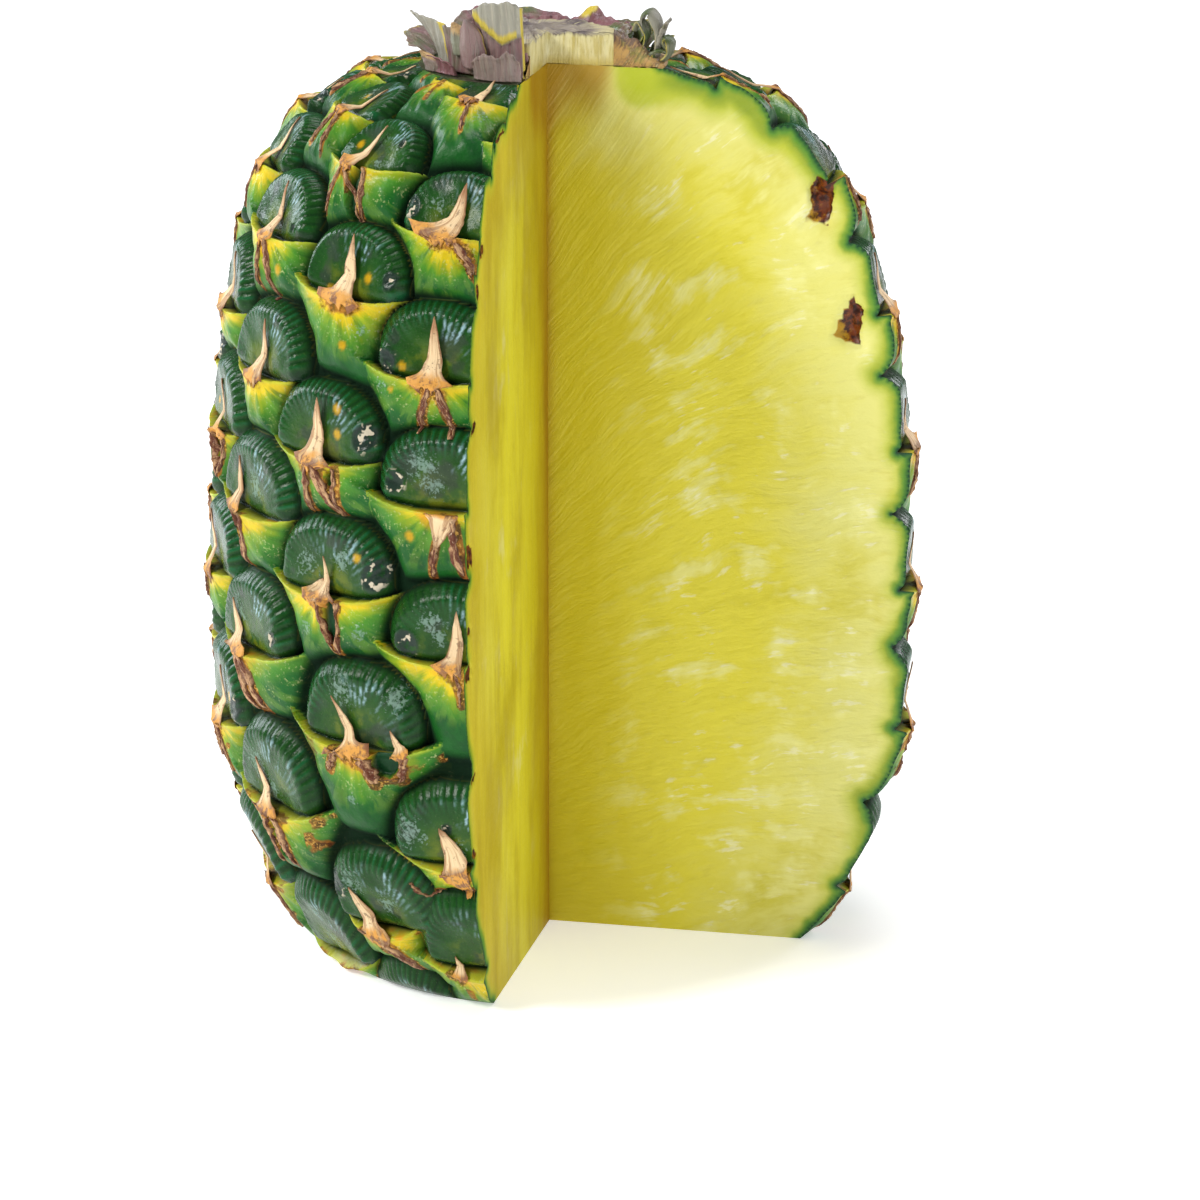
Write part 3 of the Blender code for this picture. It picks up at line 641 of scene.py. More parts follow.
class Eye:
    """One eye of the fruit: its place on the hull, its scale, its relief and its habits."""

    def __init__(self, number, hull, draw):
        low = max(0, WIDE_BELOW - number)
        high = max(0, number - SMALL_ABOVE)
        by_chance = (draw.uniform(-JITTER, JITTER), draw.uniform(-JITTER, JITTER))
        round_by, up_by = OFF_PLACE.get(number, by_chance)
        self.s = FIRST_LEDGE + RISE * number - WIDENING * low**2 - SHRINKING * high**2 + up_by
        self.angle = math.radians(FIRST_ANGLE + DIVERGENCE * number) + round_by / HULL_RADIUS
        self.wide = HALF_WIDTH / HULL_RADIUS
        self.tall = (1.0 + 2 * WIDENING * low / RISE * WIDER_TALLER
                     - 2 * SHRINKING * high / RISE * CLOSER_LOWER)
        self.deep = min(1.0, (float(hull.at(self.s)[0]) / FULL_DEPTH_RADIUS) ** 0.8)
        self.twist = draw.uniform(-TWIST, TWIST)
        # The solids draw two more numbers for each eye, so they are drawn here too.
        draw.uniform(-1.5, 2.2)
        draw.uniform(0.8, 1.12)
        self.number = number
        self.luck = random.Random(SEED * 1000 + number).random()
        self.habit = HABITS.get(number) or chance_habit(number)

    def local(self, angle, s):
        """Across in half widths, and up from the ledge in millimetres of a full-size eye."""
        a = ((angle - self.angle + math.pi) % FULL_TURN - math.pi) / self.wide
        return a, (s - self.s) / self.tall - self.ledge(a)

    def ledge(self, a):
        """How far the ledge's line rises towards its two horns, and its slight slant."""
        a = np.clip(a, -HORN_END, HORN_END)
        return HORN_RISE * np.abs(a) ** 2.6 + self.twist * a

    def to_surface(self, a, v):
        """The angle and arc length of a point given in the eye's own measures."""
        return self.angle + a * self.wide, self.s + (v + self.ledge(a)) * self.tall

    def outline(self, a, v):
        """1 on the round edge of the dome, less inside it and more outside."""
        b = np.clip(v / DOME_HEIGHT - DOME_LOW, 0.0, None) / (1 - DOME_LOW)
        return (np.abs(a / DOME_WIDTH) ** DOME_SQUARE + b**DOME_SQUARE) ** (1 / DOME_SQUARE)

    def dome(self, v, rho):
        """Height of the shiny dome above the ledge: a rounded rim round a slightly sunken middle."""
        bulge = np.sqrt(np.clip(1.0 - rho**4.4, 0.0, None))
        tuck = TUCK * falling(0.0, TUCK_REACH, v)
        rim = RIM * bell(rho - RIM_PLACE, RIM_WIDTH)
        middle = SUNKEN * falling(0.1, 0.7, rho)
        return (-DOME_CROWN - (GROOVE - DOME_CROWN) * (1.0 - bulge) - tuck + rim - middle) * self.deep

    def bract(self, a, v):
        """Height of the fleshy bract below the ledge, with its thin lip."""
        t = np.clip(-v / BRACT_HEIGHT, 0.0, None)
        width = 0.72 + 0.5 * np.clip(1.0 - t, 0.0, 1.0) ** 0.7
        rho = ((np.abs(a) / width) ** 2.6 + (t / 1.35) ** 4) ** (1 / 2.6)
        fall = np.clip(rho, 0.0, 1.3) ** (4.2 - 1.6 * np.clip(t, 0.0, 1.0))
        keel = KEEL * bell(a, 0.2) * np.clip(1.0 - t, 0.0, 1.0) ** 2
        lip = LIP * bell(v + 0.35, 0.4)
        height = CREST - 0.7 * t + keel + lip - BRACT_FALL * fall
        return np.where(v <= 0.0, height * self.deep, FAR_BELOW)


def chance_habit(number):
    """The habit of an eye that has no entry of its own, drawn by its number."""
    draw = random.Random(SEED * 77 + number)
    split = draw.random() < SPLIT_CHANCE
    foot = draw.uniform(-0.14, 0.14)
    legs, hole, eyelet = [], None, None
    if split:
        middle, half = foot + draw.uniform(-0.05, 0.12), draw.uniform(1.2, 1.7)
        hole = (middle, 0.0, -draw.uniform(6.4, 8.4), half)
        side = half / HALF_WIDTH + 0.03
        for sign in (-1, 1):
            end = (middle + sign * 0.03, hole[2] - 1.4)
            legs.append(((middle + sign * side, -0.4), end, draw.uniform(1.0, 1.5)))
    else:
        for sign in (-1, 1):
            if draw.random() < STRIP_CHANCE:
                end = (foot + sign * draw.uniform(0.12, 0.3), -draw.uniform(5.5, 9.0))
                legs.append(((foot + sign * 0.06, -0.6), end, draw.uniform(0.9, 1.8)))
    dots = [(draw.uniform(-0.5, 0.5), draw.choice((1, -1)) * draw.uniform(3.5, 7.5), draw.uniform(0.6, 0.95))
            for _ in range(draw.choice((0, 0, 1, 1, 2)))]
    if draw.random() < EYELET_CHANCE:
        eyelet = (draw.choice((-0.7, 0.72, 0.72)), draw.uniform(2.4, 5.0), draw.uniform(1.4, 2.4))
    wax_and_sheen = [(draw.uniform(-0.5, 0.5), draw.uniform(3.0, 8.0), draw.uniform(2.0, 3.4))
           for _ in range(draw.choice((0, 0, 1, 2)))]
    return dict(
        foot=foot, length=draw.uniform(8.6, 11.0), lean=draw.uniform(-16, 20), width=draw.uniform(2.8, 4.6),
        lift=draw.uniform(0.1, 0.6), hem=draw.uniform(2.6, 5.0), hole=hole, legs=legs, dots=dots, eyelet=eyelet,
        wax_and_sheen=wax_and_sheen, rust=draw.uniform(0.3, 1.0))


def grow_eyes(hull):
    draw = random.Random(SEED)
    return [Eye(number, hull, draw) for number in range(LOWEST_EYE, HIGHEST_EYE + 1)]


def owners(eyes, angle, s):
    """Which eye each point belongs to, whether it lies on a dome, its local place and the coarse heights."""
    size = angle.size
    found = {
        "bract": np.full(size, -GROOVE), "dome": np.full(size, FAR_BELOW), "dip": np.zeros(size),
        "eye": np.full(size, -1), "domed": np.zeros(size, bool), "a": np.zeros(size), "v": np.full(size, -9.0),
        "rho": np.ones(size),
    }

    def give(index, better, near, **values):
        spot = near[better]
        found["eye"][spot] = index
        for name, value in values.items():
            found[name][spot] = value[better]

    for index, eye in enumerate(eyes):
        near = np.flatnonzero(np.abs(s - eye.s) < EYE_REACH)
        a, v = eye.local(angle[near], s[near])
        close = np.abs(a) < 2.0
        near, a, v = near[close], a[close], v[close]
        rho, above = eye.outline(a, v), v > 0.0
        height = np.where(above & (rho < 1.0), eye.dome(v, rho), FAR_BELOW)
        better = height > found["dome"][near]
        found["domed"][near[better]] = True
        give(index, better, near, dome=height, a=a, v=v, rho=rho)
        height = np.where(np.abs(a) < 1.4, eye.bract(a, v), FAR_BELOW)
        better = (height > found["bract"][near]) | (found["eye"][near] < 0)
        better &= height > FAR_BELOW
        found["bract"][near[better]] = height[better]
        give(index, better & ~found["domed"][near], near, a=a, v=v, rho=rho)
        edge = np.clip((rho - 1.0) * HALF_WIDTH / DIP_REACH, 0.0, 9.0)
        found["dip"][near] = np.maximum(found["dip"][near], np.where(above, np.exp(-edge) * eye.deep, 0.0))
    return found


def lens(hole, x, v):
    """0 outside a split bract's gap, 1 well inside it."""
    middle, top, bottom, half = hole
    q = np.clip((top - v) / (top - bottom), 0.0, 1.0)
    width = half * np.sqrt(np.sin(math.pi * (0.12 + 0.88 * q))) + 1e-3
    inside = np.abs(x - middle * HALF_WIDTH) / width
    return np.where((v <= top) & (v >= bottom), falling(0.72, 1.05, inside), 0.0)


def strip_distance(leg, x, v):
    """How far each point is from a dry strip's middle line."""
    (a0, v0), (a1, v1), _ = leg
    x0, x1 = a0 * HALF_WIDTH, a1 * HALF_WIDTH
    length = (x1 - x0) ** 2 + (v1 - v0) ** 2
    t = np.clip(((x - x0) * (x1 - x0) + (v - v0) * (v1 - v0)) / length, 0.0, 1.0)
    return np.hypot(x - x0 - t * (x1 - x0), v - v0 - t * (v1 - v0))


def dot_shape(share):
    return falling(0.6, 1.15, share)


def dab(habit, x, v, sign, marks):
    """Marks the dots and the wax with painted sheen that lie above the ledge, for sign 1, or below it, for -1."""
    for name, key, shape in (("dot", "dots", dot_shape), ("wax_and_sheen", "wax_and_sheen", bell)):
        for place, up, size in habit.get(key, ()):
            if up * sign > 0:
                spot = shape(np.hypot(x - place * HALF_WIDTH, v - up) / size)
                marks[name][:] = np.maximum(marks[name], spot)


def dress_dome(eye, a, v, rho, flutes, marks, height):
    """Flutes, painted glints, eyelet, dots and wax with painted sheen on one dome. It changes the marks and the
    height in place.
    """
    habit, x = eye.habit, a * HALF_WIDTH
    b = np.clip(v / DOME_HEIGHT - DOME_LOW, 0.0, None)
    turn = np.arctan2(b, a / DOME_WIDTH) * DOME_RADIUS
    wave = np.cos(FULL_TURN * turn / FLUTE_PITCH + 9.0 * eye.luck)
    band = smoothstep(0.58, 0.82, rho) * falling(0.94, 1.0, rho)
    side = 0.45 + 0.55 * np.cos(turn / DOME_RADIUS - 0.5 - eye.luck)
    bumps = DOME_BUMPS * ripples(x / 3.1 + 7 * eye.luck, v / 3.1, 5) * (rho < 0.9)
    height += flutes * band * side * wave + bumps
    marks["turn"][:] = turn
    marks["rise"][:] = v
    # This mark paints highlights on the flute crests and shade in the hollows between them.
    marks["flute"][:] = wave * smoothstep(0.56, 0.8, rho) * falling(0.95, 1.0, rho)
    # The glint mark paints highlights on the rim's inner slope.
    slope = smoothstep(0.4, 0.54, rho) * falling(0.74, 0.86, rho)
    high = bell(turn / DOME_RADIUS - GLINT_TURN, 0.6)
    broken = smoothstep(-0.1, 0.45, ripples(turn / 2.4 + 11.0 * eye.luck, rho * 5.0, 7))
    marks["glint"][:] = slope * high * smoothstep(-0.1, 0.8, wave) * broken
    dab(habit, x, v, 1, marks)
    if habit.get("eyelet"):
        place, up, size = habit["eyelet"]
        r = np.hypot(x - place * HALF_WIDTH, (v - up) * 0.9) / size
        marks["eyelet"][:] = falling(0.8, 1.1, r)
        height += EYELET_RIM * bell(r - 0.9, 0.16) - EYELET_DEPTH * bell(r, 0.5)


def dress_bract(eye, a, v, marks, height):
    """Ribs, gap, rust, dots and wax with painted sheen on one bract. It changes the marks and the height in place.
    """
    habit, x, drop = eye.habit, a * HALF_WIDTH, -v
    foot = habit["foot"] * HALF_WIDTH
    rib = np.arctan2(x - foot, drop + 2.5) * RIB_COUNT
    spread = smoothstep(1.0, 4.0, drop) * falling(9.0, 13.0, drop)
    bumps = BRACT_BUMPS * ripples(x / 2.6, v / 2.6 + 5 * eye.luck, 6)
    height += RIB_HEIGHT * spread * np.cos(rib + 9 * eye.luck) + bumps
    marks["turn"][:] = rib / 2.4
    marks["drop"][:] = drop
    marks["across"][:] = a
    if habit.get("hole"):
        marks["hole"][:] = lens(habit["hole"], x, v)
        height -= HOLE_DEPTH * marks["hole"] * eye.deep
    rust = bell(x - foot, habit["hem"] * 0.9) * falling(1.0, 4.2, drop)
    rust = rust * (0.35 + 0.65 * habit.get("rust", 0.7))
    for leg in habit.get("legs", ()):
        near = strip_distance(leg, x, v)
        rust = np.maximum(rust, 0.8 * falling(leg[2] * 0.4, leg[2] * 0.4 + 0.9, near))
        height += STRIP_SWELL * bell(near, leg[2])
    low = np.clip((LOW_EYES - eye.number) / LOW_EYES_SPAN, 0.0, 1.0)
    torn = smoothstep(0.1, 0.6, ripples(x / 3.0 + 5 * eye.luck, v / 2.2 + 9 * eye.luck, 14))
    rust = np.maximum(rust, 0.75 * low * torn * falling(4.0, 9.0, drop))
    marks["rust"][:] = np.where(marks["hole"] > 0.5, 0.0, rust)
    dab(habit, x, v, -1, marks)


def survey(hull, eyes, angle, s, flutes):
    """The height over the hull at each point, and the marks that the rind's colours follow."""
    shape = np.broadcast(angle, s).shape
    angle, s = (np.broadcast_to(values, shape).ravel() for values in (angle, s))
    found = owners(eyes, angle, s)
    marks = {name: np.zeros(angle.size) for name in MARKS}
    marks["dome"][:] = found["domed"]
    marks["ring"][:] = np.where(found["domed"], found["rho"], 1.0)
    coarse = np.where(found["domed"], found["dome"], found["bract"] - DIP * found["dip"])
    height = coarse.copy()
    order = np.argsort(found["eye"], kind="stable")
    cuts = np.searchsorted(found["eye"][order], np.arange(-1, len(eyes) + 1))
    for index, eye in enumerate(eyes):
        mine = order[cuts[index + 1]:cuts[index + 2]]
        domed = found["domed"][mine]
        for group, on_dome in ((mine[domed], True), (mine[~domed], False)):
            if not group.size:
                continue
            part = {name: marks[name][group] for name in MARKS}
            raised = height[group]
            a, v, rho = (found[name][group] for name in ("a", "v", "rho"))
            if on_dome:
                dress_dome(eye, a, v, rho, flutes, part, raised)
            else:
                dress_bract(eye, a, v, part, raised)
            part["luck"][:] = eye.luck
            height[group] = raised
            for name in MARKS:
                marks[name][group] = part[name]
    marks["deep"][:] = np.clip((-SHADE_START - coarse) / SHADE_SPAN, 0.0, 1.0)
    fade = smoothstep(0.0, LOW_FADE, s) * smoothstep(0.0, HIGH_FADE, hull.length - s)
    height = np.maximum(height, -GROOVE) * fade
    return height.reshape(shape), {name: values.reshape(shape) for name, values in marks.items()}


def pulled(eyes, angle, s):
    """Moves the grid's rows towards the ledges, so that each ledge's lip is crisp."""
    out = s.copy()
    for eye in eyes:
        near = np.abs(s - eye.s) < 8.0
        a, v = eye.local(angle[near], s[near])
        hold = falling(0.95, 1.12, np.abs(a))
        part = np.clip(np.abs(v) / LEDGE_REACH, 0.0, 1.0)
        moved = v * (LEDGE_KEEP + (1.0 - LEDGE_KEEP) * part)
        out[near] += np.where(np.abs(v) < LEDGE_REACH, (moved - v) * hold * eye.tall, 0.0)
    return out


def cut_line(hull, eyes, s, flutes):
    """The angle at which the plane x = CUT_X leaves the skin at each arc length."""
    angle = np.full(s.shape, THREE_QUARTERS)
    for _ in range(CUT_ROUNDS):
        reach, level = hull.raised(s, survey(hull, eyes, angle, s, flutes)[0])
        angle = FULL_TURN - np.arccos((CUT_X - lean(level)) / reach)
    return angle


# Turning grids of points into meshes


def grid_faces(rows, columns):
    """The corners of each quad of a grid, counted row by row."""
    index = np.arange(rows * columns).reshape(rows, columns)
    return np.stack([index[:-1, :-1], index[:-1, 1:], index[1:, 1:], index[1:, :-1]], -1).reshape(-1, 4)


def grid_normals(points):
    """A normal for each point of a grid of points."""
    normals = np.cross(np.gradient(points, axis=1), np.gradient(points, axis=0))
    return normals / np.maximum(np.linalg.norm(normals, axis=-1, keepdims=True), 1e-12)


def make_piece(name, points, faces, marks, material, nodes, normals=None):
    """A mesh in metres from points in millimetres, which rides on the body and stands for the given nodes."""
    mesh = bpy.data.meshes.new(name)
    points = np.asarray(points, float).reshape(-1, 3)
    faces = np.asarray(faces, int)
    mesh.vertices.add(len(points))
    mesh.vertices.foreach_set("co", (points * MM).ravel())
    mesh.loops.add(faces.size)
    mesh.loops.foreach_set("vertex_index", faces.ravel())
    mesh.polygons.add(len(faces))
    mesh.polygons.foreach_set("loop_start", np.arange(0, faces.size, faces.shape[1]))
    mesh.polygons.foreach_set("loop_total", np.full(len(faces), faces.shape[1]))
    mesh.update(calc_edges=True)
    mesh.validate()
    mesh.shade_smooth()
    if normals is not None:
        mesh.normals_split_custom_set_from_vertices(normals.reshape(-1, 3))
    for mark, values in marks.items():
        layer = mesh.attributes.new(mark, "FLOAT", "POINT")
        layer.data.foreach_set("value", np.asarray(values, np.float32).ravel())
    mesh.materials.append(material)
    piece = bpy.data.objects.new(name, mesh)
    bpy.context.scene.collection.objects.link(piece)
    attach(piece, BODY)
    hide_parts(*nodes)


def make_grid(name, points, marks, material, nodes, normals=None):
    """A piece from a grid of points."""
    make_piece(name, points, grid_faces(*points.shape[:2]), marks, material, nodes, normals)


class Fruit:
    """The rind's grid, which the cut faces and the ends share their edges with. It is worked out once."""

    made = None

    def __init__(self, settings):
        self.hull = Hull()
        self.eyes = grow_eyes(self.hull)
        self.flutes = settings.flutes / MM
        step = settings.step / MM
        rows = int(self.hull.length / step)
        columns = int(THREE_QUARTERS * HULL_RADIUS / step)
        share = across_grid(columns)
        level = down_grid(rows, 0.0, self.hull.length)
        last = np.full((rows, 1), THREE_QUARTERS)
        for _ in range(GRID_ROUNDS):
            s = pulled(self.eyes, last * share, np.repeat(level, columns, axis=1))
            s[[0, -1]] = level[[0, -1]]
            last = cut_line(self.hull, self.eyes, s[:, -1], self.flutes)[:, None]
        self.angle, self.s = last * share, s
        height, self.marks = survey(self.hull, self.eyes, self.angle, s, self.flutes)
        self.points = self.hull.place(self.angle, s, height)
        self.points[:, 0, 1] = 0.0
        self.points[:, -1, 0] = CUT_X

    @classmethod
    def of(cls, settings):
        if cls.made is None:
            cls.made = cls(settings)
        return cls.made


def shell(front, back, marks):
    """A thin closed sheet from two grids of points: (points, faces, marks at each point)."""
    rows, columns = front.shape[:2]
    points = np.concatenate([front.reshape(-1, 3), back.reshape(-1, 3)])
    faces = grid_faces(rows, columns)
    count = rows * columns
    index = np.arange(count).reshape(rows, columns)
    rim = np.concatenate([index[0, :-1], index[:-1, -1], index[-1, :0:-1], index[:0:-1, 0]])
    following = np.roll(rim, -1)
    walls = np.stack([rim, rim + count, following + count, following], -1)
    faces = np.concatenate([faces, faces[:, ::-1] + count, walls])
    return points, faces, {name: np.tile(np.broadcast_to(values, (rows, columns)).ravel(), 2)
                           for name, values in marks.items()}


def join_shells(shells):
    """Several shells as one list of points, faces and marks."""
    points, faces, marks = zip(*shells)
    starts = np.cumsum([0] + [len(some) for some in points])
    return (np.concatenate(points), np.concatenate([some + start for some, start in zip(faces, starts)]),
            {name: np.concatenate([some[name] for some in marks]) for name in marks[0]})


# The rind, its spikes, the cut faces and the ends


PANELS = 4
SPIKE_ROWS = 26
SPIKE_COLUMNS = 15
HEM_DEPTH = 1.3
# The lift, hem, hem's shift, apron and fall of a second spike, and a flap that stands this far left of the foot
# with its own length, lean and width before them.
SECOND_SPIKE = (1.2, 1.8, 0.0, 1.6, False)
FLAP_ASIDE = 0.17
FLAP = (3.4, 26, 4.2, 0.8, 2.2, 0.0, 1.2, False)
# How far a hem stands over the skin, and how far a strip reaches into it.
HEM_RAISED = 0.22
STRIP_SUNK = 0.3
STRIP_ROWS = 26
STRIP_COLUMNS = 9
# The row of a strip's grid that must be on the skin for the strip to be built.
STRIP_FOOT = 6
# Spikes and strips stop this far from the cut faces. No eye has them this near the lower or the upper end.
CUT_MARGIN = 0.35
LOW_END = 4.0
HIGH_END = 6.0


def build_rind(settings):
    """The rind as panels side by side, with one shared set of normals."""
    fruit = Fruit.of(settings)
    material = rind_material(settings)
    normals = grid_normals(fruit.points)
    edges = np.linspace(0, fruit.points.shape[1] - 1, PANELS + 1).astype(int)
    for number, (start, end) in enumerate(zip(edges, edges[1:]), start=1):
        part = np.s_[:, start:end + 1]
        marks = {name: values[part] for name, values in fruit.marks.items()}
        make_grid(f"rind_panel_{number}", fruit.points[part], marks, material, ["fruit"],
                  normals[part])


def blade_sheet(foot, length, tilt, width, lift, hem, hem_side, apron, fall, draw):
    """A dry blade as grids in the eye's measures: across, up, height over the crest, share, side, along."""
    along = down_grid(SPIKE_ROWS, -apron, length)
    side = across_grid(SPIKE_COLUMNS, -1.0, 1.0)
    q = np.clip(along / length, 0.0, 1.0)
    half = 0.5 * width * (1.0 - q) ** 0.85 + 0.04
    half = half + (hem - 0.5 * width) * np.exp(-((np.clip(along, 0.0, None) / 0.8) ** 1.2)) * (along > 0)
    below = np.clip(-along / apron, 0.0, 1.0)
    half = np.where(along <= 0, hem * (1.0 - 0.6 * below**1.2), half)
    rough = ripples(along * 1.3 + draw.random() * 40, side * 1.5 + draw.random() * 40, 3)
    half = half * (1.0 + 0.12 * rough)
    teeth = 1.3 * ripples(side * 4.6 + draw.random() * 40, np.zeros_like(side) + 0.5, 4) * (along < 0) * below
    turn = math.radians(tilt)
    swing = np.where(along > 0, 1.0, 0.3)
    shift = hem_side * hem * np.exp(-np.abs(along) / 1.2)
    x = along * math.sin(turn) * swing + side * half * math.cos(turn) + shift
    v = along * math.cos(turn) + teeth - side * half * math.sin(turn) * (along > 0)
    if fall:
        v = -np.abs(v)
    bend = lift * q**1.2 + 0.35 * (1.0 - side**2) * np.clip(half, 0.0, 1.5)
    a = foot + x / HALF_WIDTH
    return a, v, bend * (along > 0), *np.broadcast_arrays(q, side, along)


def build_spikes(rind, settings):
    """The dry spikes with their torn hems, and the strips that hang from them."""
    fruit = Fruit.of(rind)
    blades, strips = [], []
    for eye in fruit.eyes:
        if not LOW_END < eye.s < fruit.hull.length - HIGH_END:
            continue
        draw = random.Random(SEED * 31 + eye.number)
        habit = eye.habit
        sheets = [(*(habit[key] for key in ("foot", "length", "lean", "width", "lift", "hem")),
                   habit.get("hem_side", 0.0), habit.get("apron", HEM_DEPTH), habit.get("fall", False))]
        if "second" in habit:
            sheets.append((*habit["second"], *SECOND_SPIKE))
        if habit.get("flap"):
            sheets.append((habit["foot"] - FLAP_ASIDE, *FLAP))
        tone = draw.random()
        blades += [place_sheet(fruit, eye, blade_sheet(*sheet, draw), settings.thickness / MM, tone)
                   for sheet in sheets]
        strips += [place_strip(fruit, eye, leg, tone, draw) for leg in habit.get("legs", ())]
    for name, shells, material in (("dry_spikes", blades, spike_material(settings)),
                                   ("dry_strips", strips, leg_material())):
        points, faces, marks = join_shells([made for made in shells if made])
        make_piece(name, points, faces, marks, material, ["fruit"])


def trimmed(fruit, angle, s, foot):
    """The angles and arc lengths cut off at the cut faces and ends, or None where the cut took the foot."""
    length, margin = fruit.hull.length, CUT_MARGIN / HULL_RADIUS
    turn = (angle + 0.5) % FULL_TURN - 0.5
    last = np.interp(s, fruit.s[:, -1], fruit.angle[:, -1])
    if not (2 * margin < turn[foot] < last[foot] - 2 * margin and 1.0 < s[foot] < length - 1.0):
        return None
    return np.clip(turn, margin, last - margin), np.clip(s, 0.6, length - 0.6)


def place_sheet(fruit, eye, sheet, thick, tone):
    """A blade's grid on the skin as a closed shell, or None where the cut took it."""
    a, v, bend, q, side, along = sheet
    foot_row = int(np.argmin(np.abs(along[:, 0])))
    placed = trimmed(fruit, *eye.to_surface(a, v / max(eye.tall, 1.0)), (foot_row, SPIKE_COLUMNS // 2))
    if placed is None:
        return None
    low = survey(fruit.hull, fruit.eyes, *placed, 0.0)[0] + HEM_RAISED
    risen = np.maximum(low, (CREST + LIP) * eye.deep + 0.1 - 5.0 * q) + 0.5 * bend
    front = np.where(along <= 0, low + 0.3 * np.abs(ripples(a * 14, v * 1.3, 9)), risen)
    back = front - thick * np.clip(1.15 - np.abs(side), 0.25, 1.0)
    marks = {"along": q, "side": side, "tone": tone}
    return shell(fruit.hull.place(*placed, front), fruit.hull.place(*placed, back), marks)


def place_strip(fruit, eye, leg, tone, draw):
    """A half-round dry strip on a bract as a closed shell, or None where the cut took it."""
    (a0, v0), (a1, v1), width = leg
    t = down_grid(STRIP_ROWS)
    side = across_grid(STRIP_COLUMNS, -1.0, 1.0)
    middle = STRIP_COLUMNS // 2
    bow = draw.uniform(-0.5, 0.5)
    wander = bow * np.sin(math.pi * t) + 0.35 * ripples(t * 4.0 + draw.random() * 40, 0.0 * t + 0.5, 8)
    half = 0.42 * width * (0.25 + 0.75 * np.sin(math.pi * (0.12 + 0.8 * t)) ** 0.6)
    half = half * (1.0 + 0.5 * ripples(t * 11.0 + draw.random() * 40, side * 2.0 + 9, 12))
    a = a0 + (a1 - a0) * t + (wander + side * half) / HALF_WIDTH
    v = v0 + (v1 - v0) * t + 0.0 * side
    placed = trimmed(fruit, *eye.to_surface(a, v), (STRIP_FOOT, middle))
    if placed is None:
        return None
    height = survey(fruit.hull, fruit.eyes, *placed, 0.0)[0]
    smooth = np.maximum(height, height[:, middle:middle + 1] - 0.6)
    ridge = 0.5 * np.sqrt(np.clip(1.0 - side**2, 0.0, 1.0)) * np.clip(half, 0.0, 0.9) + 0.1
    ridge = ridge + 0.16 * ripples(t * 15.0 + draw.random() * 40, side * 3.0, 13)
    marks = {"along": t, "side": side, "tone": tone}
    front, back = (fruit.hull.place(*placed, high) for high in (smooth + ridge, smooth - STRIP_SUNK))
    return shell(front, back, marks)


FACE_STEP = 1.0
FACE_RIM_STEP = 0.5
FACE_RIM = 5.0
CORNER_STEPS = 150
FLOW_ROUNDS = 16
END_RINGS = 60
END_SUNK = 0.5
# Brown hollows in the right face as corners (x, height), and brown specks on the left face's edge as
# (height, half their width, half their height).
PITS = (
    ((43.6, 136.0), (46.9, 134.2), (45.8, 127.2), (41.2, 127.6), (42.8, 130.0), (42.6, 133.4)),
    ((50.0, 115.3), (51.9, 112.8), (51.3, 106.6), (46.8, 108.2), (47.9, 110.8)),
)
PIT_DEPTH = 1.8
SPECKS = (
    (147.0, 1.6, 0.8), (131.0, 1.1, 1.7), (124.5, 1.0, 1.9), (103.0, 1.2, 1.0), (82.5, 1.4, 2.6),
    (70.0, 1.0, 0.9), (63.0, 1.5, 1.9), (44.0, 1.2, 0.8), (31.0, 0.9, 1.2),
)
SPECK_DEPTH = 0.5
# The right face's green edge is wider at the fruit's shoulder, and has a lime patch round this x at the top.
SHOULDER_GREEN = 2.6
LIME_X = 12.6
LIME_WIDTH = 4.4
LIME_GREEN = 4.6
# Both faces are stained this far down from the top. The flesh is ripe from this far out of the inner corner.
TOP_STAIN = 13.0
RIGHT_RIPE = 34.0
LEFT_RIPE = 30.0
SPECK_TONE = 0.6


def edge_distance(place, edge):
    """How far each point of a face is from the skin's edge."""
    nearest = np.full(len(place), FAR)
    for spot in edge[::2]:
        nearest = np.minimum(nearest, np.hypot(*(place - spot).T))
    return nearest


def polygon_depth(place, corners):
    """How far inside this polygon each point lies, below 0 outside it."""
    corners = np.array(corners)
    inside = np.zeros(len(place), bool)
    nearest = np.full(len(place), FAR)
    for a, b in zip(corners, np.roll(corners, -1, axis=0)):
        t = np.clip((place - a) @ (b - a) / ((b - a) @ (b - a)), 0.0, 1.0)
        nearest = np.minimum(nearest, np.hypot(*(place - a - t[:, None] * (b - a)).T))
        crosses = (a[1] > place[:, 1]) != (b[1] > place[:, 1])
        rise = np.where(b[1] == a[1], 1.0, b[1] - a[1])
        inside ^= crosses & (place[:, 0] < (b[0] - a[0]) * (place[:, 1] - a[1]) / rise + a[0])
    return np.where(inside, nearest, -nearest)


